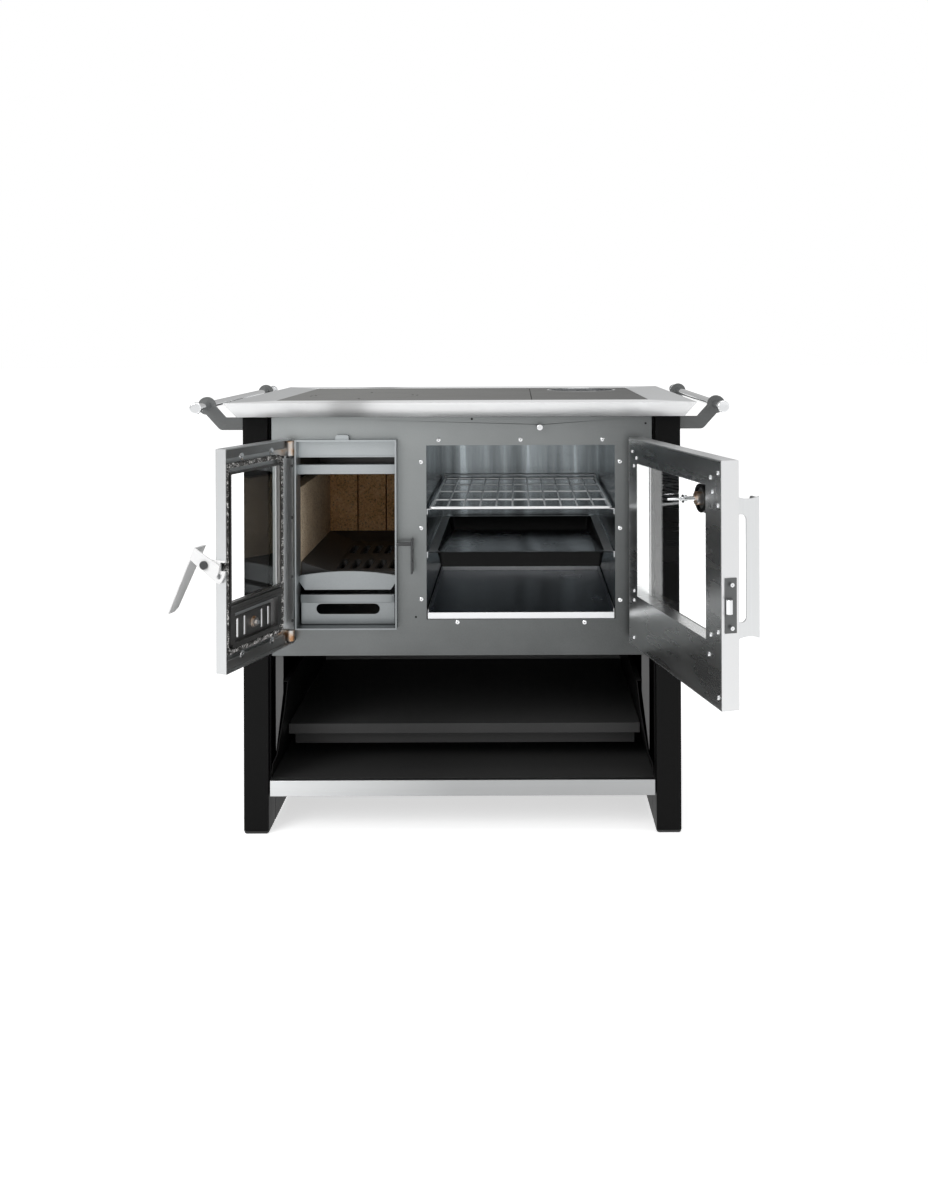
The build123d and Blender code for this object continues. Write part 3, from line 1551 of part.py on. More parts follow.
dial_x = oven_span[0] + dial_inset
dial_z = door_top - dial_drop
with BuildPart() as oven_door_glass:
    slab(
        oven_face,
        (oven_window_x[0] - oven_glass_lap, oven_window_x[1] + oven_glass_lap),
        (oven_window_z[0] - oven_glass_lap, oven_window_z[1] + oven_glass_lap),
        (oven_skin - oven_glass_thick, oven_skin),
    )
    post(
        oven_face,
        (dial_x, dial_z),
        dial_stem_radius + dial_stem_fit,
        (oven_skin - oven_glass_thick - overrun, oven_skin + overrun),
        Mode.SUBTRACT,
    )
finish("oven_door_glass", oven_door_glass)

with BuildPart() as thermometer:
    post(oven_face, (dial_x, dial_z), dial_radius, (oven_skin, oven_skin + dial_thick))
    fillet(thermometer.edges(), dial_round)
    post(oven_face, (dial_x, dial_z), dial_stem_radius, (-dial_nut_reach, oven_skin))
    with BuildSketch(oven_face.offset(-dial_nut_reach)):
        with Locations((dial_x, dial_z)):
            RegularPolygon(dial_nut_radius, dial_nut_sides, major_radius=False)
    extrude(amount=dial_nut_thick)
    post(oven_face, (dial_x, dial_z), dial_probe_radius, (-dial_probe_reach, -dial_nut_reach))
finish("thermometer", thermometer)

# Handle: a flat plate standing off the face, with a finger gap and a folded grip
handle_x = oven_span[0] + handle_inset
handle_spot = oven_face.from_local_coords((handle_x, 0, 0))
handle_plane = Plane(origin=handle_spot, x_dir=oven_face.z_dir, z_dir=-oven_face.x_dir)
handle_edge = oven_outer + handle_reach
handle_z = (door_bottom + handle_rise, door_bottom + handle_rise + handle_length)
handle_dish_z = (handle_z[0] + handle_dish, handle_z[1] - handle_dish)
handle_middle = (handle_z[0] + handle_z[1]) / 2
gap_z = (handle_z[0] + handle_gap_low, handle_z[1] - handle_gap_high)
with BuildPart() as oven_handle:
    with BuildSketch(handle_plane):
        with BuildLine():
            ThreePointArc(
                (oven_outer, handle_z[0]),
                (oven_outer + handle_reach / 2, handle_dish_z[0]),
                (handle_edge, handle_z[0]),
            )
            Line((handle_edge, handle_z[0]), (handle_edge, handle_z[1]))
            ThreePointArc(
                (handle_edge, handle_z[1]),
                (oven_outer + handle_reach / 2, handle_dish_z[1]),
                (oven_outer, handle_z[1]),
            )
            Line((oven_outer, handle_z[1]), (oven_outer, handle_z[0]))
        make_face()
        with Locations((oven_outer, (gap_z[0] + gap_z[1]) / 2)):
            RectangleRounded(2 * handle_gap, gap_z[1] - gap_z[0], handle_gap_round, mode=Mode.SUBTRACT)
    extrude(amount=handle_thick)
    with BuildSketch(oven_face.offset(handle_edge - handle_thick)):
        with Locations((handle_x + (handle_flange - handle_thick) / 2, handle_middle)):
            RectangleRounded(
                handle_flange + handle_thick, handle_length - 2 * handle_flange_trim, handle_corner
            )
    extrude(amount=handle_thick)
finish("oven_handle", oven_handle)

with BuildPart() as oven_door_knuckles:
    for knuckle in hinge_spans:
        post(floor, (oven_pivot_x, oven_pivot_y), oven_edge_gap - lug_gap, knuckle)
        slab(
            oven_face,
            (-oven_edge_gap, 0),
            knuckle,
            (oven_edge_gap - lug_gap - hinge_leaf_thick, oven_edge_gap - lug_gap),
        )
        post(
            floor,
            (oven_pivot_x, oven_pivot_y),
            hinge_pin_radius + hinge_fit,
            (knuckle[0] - overrun, knuckle[1] + overrun),
            Mode.SUBTRACT,
        )
finish("oven_door_knuckles", oven_door_knuckles)

# Roller catch on the free edge
catch_mid = (oven_inner + oven_outer) / 2
with BuildPart() as catch_plate:
    slab(
        oven_face,
        (catch_x - catch_thick, catch_x),
        (catch_z - catch_height / 2, catch_z + catch_height / 2),
        (catch_mid - catch_width / 2, catch_mid + catch_width / 2),
    )
    slab(
        oven_face,
        (catch_x - catch_thick - overrun, catch_x + overrun),
        roller_pocket_z,
        roller_pocket_n,
        Mode.SUBTRACT,
    )
    for ear_z in (roller_pocket_z[0] - ear_thick, roller_pocket_z[1]):
        slab(
            oven_face,
            (roller_x - ear_half, catch_x),
            (ear_z, ear_z + ear_thick),
            (roller_n - roller_radius, roller_n + roller_radius),
        )
    roller_spot = oven_face.from_local_coords((roller_x, 0, roller_n))
    post(
        floor,
        (roller_spot.X, roller_spot.Y),
        roller_pin_radius,
        (roller_pocket_z[0] - ear_thick, roller_pocket_z[1] + ear_thick),
    )
finish("catch_plate", catch_plate)

with BuildPart() as catch_roller:
    post(floor, (roller_spot.X, roller_spot.Y), roller_radius, roller_z_span)
    post(floor, (roller_spot.X, roller_spot.Y), roller_pin_radius + roller_fit, roller_z_span, Mode.SUBTRACT)
finish("catch_roller", catch_roller)
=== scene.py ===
import bmesh
import bpy
import json
import math
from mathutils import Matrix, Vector

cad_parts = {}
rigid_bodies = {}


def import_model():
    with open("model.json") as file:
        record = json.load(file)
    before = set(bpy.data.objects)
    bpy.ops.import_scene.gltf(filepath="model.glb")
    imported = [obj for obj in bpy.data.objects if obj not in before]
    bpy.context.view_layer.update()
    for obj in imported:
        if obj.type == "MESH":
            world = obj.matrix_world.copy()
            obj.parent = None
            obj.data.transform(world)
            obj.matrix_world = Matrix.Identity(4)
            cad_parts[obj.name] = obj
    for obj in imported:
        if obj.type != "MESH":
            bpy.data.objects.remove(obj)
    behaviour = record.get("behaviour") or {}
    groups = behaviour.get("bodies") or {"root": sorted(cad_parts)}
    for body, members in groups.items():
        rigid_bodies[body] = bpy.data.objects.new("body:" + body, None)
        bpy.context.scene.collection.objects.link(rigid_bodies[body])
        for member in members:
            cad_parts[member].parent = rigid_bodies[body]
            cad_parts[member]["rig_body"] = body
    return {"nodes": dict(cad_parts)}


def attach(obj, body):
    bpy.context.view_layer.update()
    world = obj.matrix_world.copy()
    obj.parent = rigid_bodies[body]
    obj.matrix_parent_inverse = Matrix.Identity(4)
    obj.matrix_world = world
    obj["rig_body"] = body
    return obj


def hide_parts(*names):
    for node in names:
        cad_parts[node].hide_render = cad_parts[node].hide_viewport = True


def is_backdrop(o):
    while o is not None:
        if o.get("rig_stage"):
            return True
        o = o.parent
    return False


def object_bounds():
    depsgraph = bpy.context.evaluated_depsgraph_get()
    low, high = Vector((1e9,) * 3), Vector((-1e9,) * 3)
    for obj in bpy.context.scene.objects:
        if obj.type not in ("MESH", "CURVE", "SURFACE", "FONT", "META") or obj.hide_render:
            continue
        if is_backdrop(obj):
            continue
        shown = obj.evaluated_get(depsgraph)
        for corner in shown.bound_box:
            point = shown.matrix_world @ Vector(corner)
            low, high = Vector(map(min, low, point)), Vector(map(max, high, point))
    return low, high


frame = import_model()
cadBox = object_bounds()
nodes = frame["nodes"]
bodyOf = {node: obj["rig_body"] for node, obj in nodes.items()}


class Signal:  # a socket that takes part in plain maths
    def __init__(self, sheet, socket):
        self.sheet = sheet
        self.socket = socket

    def maths(self, operation, first, second=None):
        values = {0: first} if second is None else {0: first, 1: second}
        return self.sheet.add("ShaderNodeMath", {"operation": operation}, values)

    def __add__(self, other):
        return self.maths("ADD", self, other)

    def __radd__(self, other):
        return self.maths("ADD", other, self)

    def __sub__(self, other):
        return self.maths("SUBTRACT", self, other)

    def __rsub__(self, other):
        return self.maths("SUBTRACT", other, self)

    def __mul__(self, other):
        return self.maths("MULTIPLY", self, other)

    def __rmul__(self, other):
        return self.maths("MULTIPLY", other, self)

    def __truediv__(self, other):
        return self.maths("DIVIDE", self, other)

    def __rtruediv__(self, other):
        return self.maths("DIVIDE", other, self)

    def remainder(self, whole):
        return self.maths("MODULO", self, whole)

    def orMore(self, other):
        return self.maths("MAXIMUM", self, other)

    def above(self, level):
        return self.maths("GREATER_THAN", self, level)

    def sine(self):
        return self.maths("SINE", self)

    def cosine(self):
        return self.maths("COSINE", self)


class Sheet:  # a node tree that is written one call per node
    def __init__(self, tree):
        self.tree = tree

    def add(self, kind, settings=None, values=None, out=0):
        made = self.tree.nodes.new(kind)
        for key, value in (settings or {}).items():
            if key == "stops":
                ramp = made.color_ramp
                while len(ramp.elements) < len(value):
                    ramp.elements.new(1.0)
                for element, (place, colour) in zip(ramp.elements, value):
                    element.position = place
                    element.color = (*colour, 1.0)
            else:
                setattr(made, key, value)
        for key, value in (values or {}).items():
            socket = made.inputs[key]
            if isinstance(value, Signal):
                self.tree.links.new(value.socket, socket)
            elif isinstance(value, list):  # several links into one socket
                for one in value:
                    self.tree.links.new(one.socket, socket)
            else:
                socket.default_value = value
        return Signal(self, made.outputs[out]) if len(made.outputs) else None

    def take(self, signal, out):  # another output of the same node
        return Signal(self, signal.socket.node.outputs[out])

    def axes(self, vector):  # its x, y and z
        x = self.add("ShaderNodeSeparateXYZ", {}, {0: vector})
        return x, self.take(x, 1), self.take(x, 2)


class Finish(Sheet):  # one procedural material around a Principled shader
    def __init__(self, name, **constants):
        self.material = bpy.data.materials.new(name)
        self.material.use_nodes = True
        super().__init__(self.material.node_tree)
        self.tree.nodes.clear()
        shader = self.add("ShaderNodeBsdfPrincipled")
        self.add("ShaderNodeOutputMaterial", {}, {0: shader})
        self.sockets = shader.socket.node.inputs
        for key, value in constants.items():
            self.sockets[key.replace("_", " ")].default_value = value

    def feed(self, **signals):
        for key, signal in signals.items():
            self.tree.links.new(signal.socket, self.sockets[key.replace("_", " ")])
        return self.material

    def place(self, stretch=(1.0, 1.0, 1.0), turn=0.0):
        spot = self.add("ShaderNodeTexCoord", out="Object")
        if turn:
            turned = {"Vector": spot, "Rotation": (0.0, 0.0, -turn)}
            spot = self.add("ShaderNodeMapping", {}, turned)
        return self.add("ShaderNodeMapping", {}, {"Vector": spot, "Scale": stretch})

    def noise(self, vector, scale=1.0, detail=2.0, roughness=0.5):
        values = {"Vector": vector, "Scale": scale, "Detail": detail, "Roughness": roughness}
        return self.add("ShaderNodeTexNoise", {}, values)

    def blend(self, share, low, high):
        ends = {
            6: low if isinstance(low, Signal) else (*low, 1.0),
            7: high if isinstance(high, Signal) else (*high, 1.0),
        }
        return self.add("ShaderNodeMix", {"data_type": "RGBA"}, {0: share, **ends}, out=2)

    def ramp(self, share, stops):
        return self.add("ShaderNodeValToRGB", {"stops": stops}, {0: share})

    def limited(self, value, most=1.0):
        return self.add("ShaderNodeClamp", {}, {0: value, "Max": most})

    def bump(self, height, strength, distance):
        values = {"Height": height, "Strength": strength, "Distance": distance}
        return self.add("ShaderNodeBump", {}, values)


def shadeOf(colour, factor):
    return tuple(min(1.0, part * factor) for part in colour)


paintedShadeBlack = (0.0, 0.0, 0.0)
# painted shade and reflection: a dark band near x=-0.217 stands in for a dark reflection, and the
# steel darkens toward the right
brushedPaintedDarkening = {"patchAt": -0.217, "patchEdge": 26.0, "fallFrom": -0.38, "most": 0.42}


def brushedSteel(
    name, tone, grain, turn=0.0, rough=0.34, swing=0.16, metal=1.0, fall=0.0, patch=0.0
):
    made = Finish(name, Metallic=metal)
    spot = made.place()
    brushing = made.noise(made.place(grain, turn), detail=3.0, roughness=0.65)
    cloud = made.noise(spot, scale=5.0)
    across = made.axes(spot)[0]
    # painted dark reflection patch, plus painted shade growing to the right
    away = (across - brushedPaintedDarkening["patchAt"]) * brushedPaintedDarkening["patchEdge"]
    paintedDarkReflection = patch / (1.0 + away * away * away * away)
    paintedDarkening = (across - brushedPaintedDarkening["fallFrom"]) * fall + paintedDarkReflection
    colour = made.blend(brushing, shadeOf(tone, 0.93), shadeOf(tone, 1.05))
    return made.feed(
        Base_Color=made.blend(made.limited(paintedDarkening, brushedPaintedDarkening["most"]), colour, paintedShadeBlack),
        Roughness=rough - swing / 2 + brushing * swing + (cloud - 0.5) * 0.06,
        Normal=made.bump(brushing * 0.05, strength=0.35, distance=0.002),
    )


def polishedSteel(name, tone, rough, wave, waveScale=3.0):
    made = Finish(name, Metallic=1.0)
    spot = made.place()
    smear = made.noise(made.place((3.0, 3.0, 60.0)))
    cloud = made.noise(spot, scale=7.0, detail=3.0)
    swell = made.noise(spot, scale=waveScale, detail=1.0)
    return made.feed(
        Base_Color=made.blend(cloud, shadeOf(tone, 0.9), tone),
        Roughness=rough + cloud * rough * 0.6 + smear * rough * 0.3,
        Normal=made.bump(swell * wave + smear * 0.003, strength=0.5, distance=0.004),
    )


def linerSteel(name, tone, rough):
    made = Finish(name, Metallic=1.0)
    lines = made.noise(made.place((4.0, 4.0, 900.0)))
    # painted sheen: bright vertical streaks stand in for the brushed metal's reflections
    streak = made.noise(made.place((26.0, 9.0, 1.3)), detail=3.0, roughness=0.6)
    dent = made.noise(made.place(), scale=4.0, detail=1.0)
    shades = ((0.36, 0.6), (0.5, 1.0), (0.6, 1.3), (0.68, 2.2))
    return made.feed(
        Base_Color=made.ramp(streak, [(place, shadeOf(tone, part)) for place, part in shades]),
        Roughness=rough + streak * 0.08,
        Normal=made.bump(lines * 0.12 + dent * 0.6, strength=0.6, distance=0.0012),
    )


def paintedSteel(name, tone, rough, peel=0.25, gleam=0.5):
    made = Finish(name, Specular_IOR_Level=gleam)
    spot = made.place()
    cloud = made.noise(spot, scale=4.0, detail=3.0)
    skin = made.noise(spot, scale=900.0)
    dust = made.noise(spot, scale=60.0, detail=4.0, roughness=0.7)
    return made.feed(
        Base_Color=made.blend(cloud, shadeOf(tone, 0.8), shadeOf(tone, 1.2)),
        Roughness=rough + (cloud - 0.5) * 0.1 + (dust - 0.5) * 0.08,
        Normal=made.bump(skin + dust * 0.4, strength=peel, distance=0.00025),
    )


sheetPaintedLight = {"level": 0.6, "up": 1.4, "upLeft": 1.6, "left": 0.95}  # painted light: lighter up and to the left


def sheetSteel(name, tone, rough, fall=0.0):
    made = Finish(name, Metallic=0.85)
    spot = made.place()
    cloud = made.noise(spot, scale=3.2, detail=4.0, roughness=0.62)
    rolled = made.noise(made.place((6.0, 6.0, 260.0)), detail=3.0)
    speck = made.noise(spot, scale=420.0)
    across, _, height = made.axes(spot)
    # painted light: the tone rises upward and toward the left
    slope = sheetPaintedLight["up"] - across * sheetPaintedLight["upLeft"]
    rise = (height - sheetPaintedLight["level"]) * slope - across * sheetPaintedLight["left"]
    share = made.limited(0.5 + rise * fall * 0.4 + (cloud + speck * 0.2 - 0.6) * 0.3)
    return made.feed(
        Base_Color=made.blend(share, shadeOf(tone, 0.1), shadeOf(tone, 1.9)),
        Roughness=rough + (cloud - 0.5) * 0.16 + (rolled - 0.5) * 0.1,
        Normal=made.bump(rolled * 0.4 + speck * 0.5, strength=0.2, distance=0.0003),
    )


# painted shade: the hob plates darken toward the right
hobPaintedShade = {"middle": 0.24, "right": 0.9, "most": 0.55}


def hobSteel(name, tone):
    made = Finish(name, Metallic=0.55)
    spot = made.place()
    across = made.axes(spot)[0]
    paintedDarkening = made.limited(hobPaintedShade["middle"] + across * hobPaintedShade["right"], hobPaintedShade["most"])
    lines = made.noise(made.place((9.0, 700.0, 700.0)), detail=4.0, roughness=0.7)
    cloud = made.noise(spot, scale=6.0, detail=5.0, roughness=0.6)
    pits = made.noise(spot, scale=700.0)
    colour = made.blend(lines * 0.5 + cloud * 0.5, shadeOf(tone, 0.72), shadeOf(tone, 1.3))
    return made.feed(
        Base_Color=made.blend(paintedDarkening, colour, paintedShadeBlack),
        Roughness=0.5 + (cloud - 0.5) * 0.2,
        Normal=made.bump(lines * 0.6 + pits * 0.4, strength=0.35, distance=0.0003),
    )


def castIron(name, tone):
    made = Finish(name, Metallic=0.3)
    spot = made.place()
    sand = made.noise(spot, scale=330.0, detail=4.0, roughness=0.6)
    lumps = made.noise(spot, scale=40.0, detail=3.0)
    return made.feed(
        Base_Color=made.blend(sand, shadeOf(tone, 0.6), shadeOf(tone, 1.6)),
        Roughness=0.55 + (sand - 0.5) * 0.3,
        Normal=made.bump(sand + lumps * 0.8, strength=0.5, distance=0.0006),
    )


def firebrick(name, stops, pits):
    made = Finish(name, Roughness=0.95)
    spot = made.place()
    flake = made.add("ShaderNodeTexVoronoi", {}, {"Vector": spot, "Scale": 330.0}, out="Distance")
    chip = made.add("ShaderNodeTexVoronoi", {}, {"Vector": spot, "Scale": 270.0}, out="Color")
    grain = made.noise(spot, scale=240.0, detail=4.0, roughness=0.7)
    cloud = made.noise(spot, scale=14.0, detail=3.0)
    body = made.ramp(grain * 0.7 + cloud * 0.3, stops)
    dark = made.add("ShaderNodeSeparateColor", {}, {0: chip}).above(0.9)
    return made.feed(
        Base_Color=made.blend(dark * pits, body, (0.16, 0.085, 0.04)),
        Normal=made.bump(grain + flake * 2.0, strength=0.6, distance=0.0012),
    )


def clearGlass(name, tint):
    made = Finish(name, Transmission_Weight=1.0, IOR=1.47)
    cloud = made.noise(made.place(), scale=9.0, detail=3.0)
    return made.feed(
        Base_Color=made.blend(cloud, shadeOf(tint, 0.99), tint),
        Roughness=cloud * 0.02,
    )


def wovenFibre(name, tone, glint):
    made = Finish(name, Roughness=0.7, Metallic=0.2)
    spot = made.place()
    hair = made.noise(spot, scale=420.0, detail=3.0)
    glintClusters = made.noise(spot, scale=110.0)
    # painted highlight: bright glints on the strands, clustered by noise
    stops = [(0.46, tone), (0.53, shadeOf(glint, 0.2)), (0.6, glint)]
    return made.feed(
        Base_Color=made.ramp(hair * 0.6 + glintClusters * 0.4, stops),
        Normal=made.bump(hair, strength=0.5, distance=0.0004),
    )


def heatTinted(name, stops):
    made = Finish(name, Metallic=1.0)
    cloud = made.noise(made.place(), scale=60.0, detail=3.0)
    return made.feed(
        Base_Color=made.ramp(cloud, stops),
        Roughness=0.28 + cloud * 0.2,
        Normal=made.bump(cloud, strength=0.3, distance=0.0008),
    )


def flatInk(name, tone, rough):
    made = Finish(name)
    cloud = made.noise(made.place(), scale=300.0)
    return made.feed(
        Base_Color=made.blend(cloud, shadeOf(tone, 0.92), tone),
        Roughness=rough + (cloud - 0.5) * 0.05,
    )


print("finishes")
fireDoor = {"pivot": (-0.335, -0.287), "turn": math.radians(-110.7)}
ovenDoor = {"pivot": (0.3398, -0.2855), "turn": math.radians(104.8)}
grainX = (5.0, 900.0, 900.0)  # brushed from side to side
grainY = (900.0, 5.0, 900.0)
grainZ = (900.0, 900.0, 5.0)
finishes = {
    "rimX": brushedSteel(
        "rimSteelAcross", (0.84, 0.845, 0.85), grainX, rough=0.42, metal=0.7, patch=0.42
    ),
    "rimY": brushedSteel("rimSteelDeep", (0.67, 0.68, 0.685), grainY),
    "trim": brushedSteel("trimSteel", (0.68, 0.69, 0.695), grainX, fall=1.15),
    "handle": brushedSteel("handleSteel", (0.70, 0.71, 0.715), grainZ),
    "fireSkin": brushedSteel("fireDoorSteel", (0.60, 0.61, 0.615), grainX, fireDoor["turn"]),
    "ovenSkin": brushedSteel("ovenDoorSteel", (0.72, 0.725, 0.73), grainX, ovenDoor["turn"]),
    "lever": brushedSteel(
        "leverSteel", (0.86, 0.86, 0.86), grainX, fireDoor["turn"], rough=0.42, metal=0.1
    ),
    "polished": polishedSteel("polishedSteel", (0.66, 0.67, 0.68), rough=0.12, wave=0.10),
    "mirror": polishedSteel(
        "mirrorSteel", (0.86, 0.87, 0.87), rough=0.19, wave=0.12, waveScale=2.6
    ),
    "liner": linerSteel("ovenLinerSteel", (0.225, 0.25, 0.262), rough=0.2),
    "panSteel": polishedSteel("panSteel", (0.21, 0.235, 0.27), rough=0.2, wave=0.08),
    "trayFloor": polishedSteel("trayGlaze", (0.42, 0.43, 0.45), rough=0.18, wave=0.02),
    "bright": brushedSteel("brightSteel", (0.80, 0.81, 0.82), grainX, rough=0.36, metal=0.7),
    "chrome": polishedSteel("chrome", (0.80, 0.81, 0.82), rough=0.05, wave=0.0),
    "wire": brushedSteel("rackWire", (0.88, 0.89, 0.90), grainX, rough=0.24, metal=0.5),
    "bracket": sheetSteel("bracketSteel", (0.13, 0.134, 0.134), rough=0.4),
    "plate": sheetSteel("frontPlateSteel", (0.20, 0.21, 0.21), rough=0.4, fall=1.6),
    "collar": sheetSteel("fireboxSteel", (0.29, 0.308, 0.315), rough=0.4, fall=1.15),
    "darkSheet": sheetSteel("darkSheetSteel", (0.10, 0.10, 0.10), rough=0.45),
    "doorBand": sheetSteel("doorBandSteel", (0.25, 0.25, 0.248), rough=0.3),
    "innerDoor": sheetSteel("fireDoorInnerSteel", (0.13, 0.128, 0.125), rough=0.33),
    "hob": hobSteel("hobPlateSteel", (0.165, 0.165, 0.158)),
    "black": paintedSteel("blackPaint", (0.005, 0.005, 0.005), rough=0.36, gleam=0.08),
    "blackShelf": paintedSteel("shelfPaint", (0.036, 0.036, 0.036), rough=0.45, gleam=0.2),
    # painted light: a lighter copy of the shelf paint for the middle shelf, which lies in shade
    "midShelf": paintedSteel("middleShelfPaint", (0.05, 0.05, 0.05), rough=0.5, gleam=0.1),
    "backSheet": paintedSteel("backSheetPaint", (0.2, 0.2, 0.2), rough=0.5, gleam=0.3),
    "grate": castIron("castIron", (0.04, 0.039, 0.038)),
    "brickSide": firebrick(
        "firebrickSide",
        [
            (0.3, (0.42, 0.31, 0.20)),
            (0.48, (0.66, 0.53, 0.38)),
            (0.62, (0.78, 0.66, 0.50)),
            (0.8, (0.86, 0.76, 0.62)),
        ],
        pits=0.25,
    ),
    "brickBack": firebrick(
        "firebrickBack",
        [
            (0.3, (0.42, 0.22, 0.08)),
            (0.46, (0.80, 0.46, 0.20)),
            (0.58, (0.93, 0.60, 0.31)),
            (0.76, (0.96, 0.78, 0.52)),
        ],
        pits=0.3,
    ),
    "enamel": paintedSteel("blackEnamel", (0.01, 0.01, 0.011), rough=0.14, peel=0.06),
    # painted highlight: a lighter copy of the black enamel for the tray's side edges
    "enamelEdge": paintedSteel("enamelEdge", (0.16, 0.16, 0.165), rough=0.3, peel=0.1),
    "plastic": paintedSteel("glidePlastic", (0.012, 0.012, 0.012), rough=0.5),
    "glass": clearGlass("doorGlass", (0.985, 0.99, 0.985)),
    "tinted": heatTinted(
        "heatTintedSteel",
        [(0.4, (0.52, 0.51, 0.50)), (0.54, (0.56, 0.45, 0.36)), (0.68, (0.42, 0.22, 0.11))],
    ),
    "bolt": paintedSteel("blackBoltSteel", (0.035, 0.036, 0.038), rough=0.35),
    "screw": polishedSteel("screwSteel", (0.82, 0.83, 0.84), rough=0.14, wave=0.0),
    "ropeStrand": wovenFibre("ropeStrand", (0.035, 0.034, 0.032), (0.85, 0.84, 0.82)),
    "ropeCore": wovenFibre("ropeCore", (0.012, 0.012, 0.012), (0.05, 0.05, 0.05)),
    "shade": flatInk("deepShade", (0.004, 0.004, 0.004), rough=0.8),
    "dialFace": flatInk("dialFace", (0.86, 0.86, 0.84), rough=0.4),
}


def keep(obj, body, slot, *replaced):
    if replaced:
        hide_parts(*replaced)
    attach(obj, body)


def linked(name, data, *materials):
    for material in materials:
        data.materials.append(material)
    obj = bpy.data.objects.new(name, data)
    bpy.context.scene.collection.objects.link(obj)
    return obj


def settled(obj, sharpAngle):  # what the modifiers show, as a plain mesh
    shown = obj.evaluated_get(bpy.context.evaluated_depsgraph_get())
    mesh = bpy.data.meshes.new_from_object(shown)
    mesh.shade_smooth()
    mesh.set_sharp_from_angle(angle=math.radians(sharpAngle))
    obj.modifiers.clear()
    if obj.type == "MESH":
        source = obj.data
        obj.data = mesh
        bpy.data.meshes.remove(source)
        return obj
    name = obj.name  # a curve gives way to a mesh object of its name
    bpy.data.objects.remove(obj)
    return linked(name, mesh)


def camel(node):
    first, *others = node.split("_")
    return first + "".join(word.capitalize() for word in others)


smoothing = {"weld": 2e-6, "cadEdge": 36.0, "addedEdge": 32.0}  # metres, then degrees


def rounded(node, width, slot, *looks, pick=None):  # a CAD node with its edges eased
    mesh = bmesh.new()
    mesh.from_mesh(nodes[node].data)
    bmesh.ops.remove_doubles(mesh, verts=mesh.verts, dist=smoothing["weld"])
    for face in mesh.faces:
        face.smooth = True
        face.material_index = pick(face.calc_center_median(), face.normal) if pick else 0
    name = camel(node)
    plain = bpy.data.meshes.new(name)
    mesh.to_mesh(plain)
    mesh.free()
    if "custom_normal" in plain.attributes:  # these belong to the unwelded triangles
        plain.attributes.remove(plain.attributes["custom_normal"])
    obj = linked(name, plain, *[finishes[look] for look in looks])
    if width:
        bevel = obj.modifiers.new("edges", "BEVEL")
        bevel.width = width
        bevel.segments = 1
        bevel.limit_method = "ANGLE"
        bevel.angle_limit = math.radians(smoothing["cadEdge"])
        bevel.use_clamp_overlap = True
    keep(settled(obj, smoothing["cadEdge"]), bodyOf[node], slot, node)


flat = 0.9  # a face looks along an axis when its normal's share is past this
rim = {"halfWidth": 0.3712, "halfDepth": 0.2462}  # of its opening
pan = {"edgeUp": 0.4365}
tray = {"middle": 0.116, "edgeOut": 0.168, "edgeUp": 0.523, "front": 0.5}


def rimPick(centre, normal):  # front and back are brushed across, the sides front to back
    return int(abs(centre.x) - rim["halfWidth"] > abs(centre.y) - rim["halfDepth"])


def panPick(centre, normal):  # the front strip is bright, and the sides' upper edges are bright as a painted highlight
    return int(normal.y < -flat or normal.z > flat and centre.z > pan["edgeUp"])


def trayPick(centre, normal):  # walls 0, side edges 1 with a painted highlight, front 2, floor 3
    if normal.y < -tray["front"]:
        return 2
    if normal.z <= flat:
        return 0
    if centre.z < tray["edgeUp"]:
        return 3
    return int(abs(centre.x - tray["middle"]) > tray["edgeOut"])


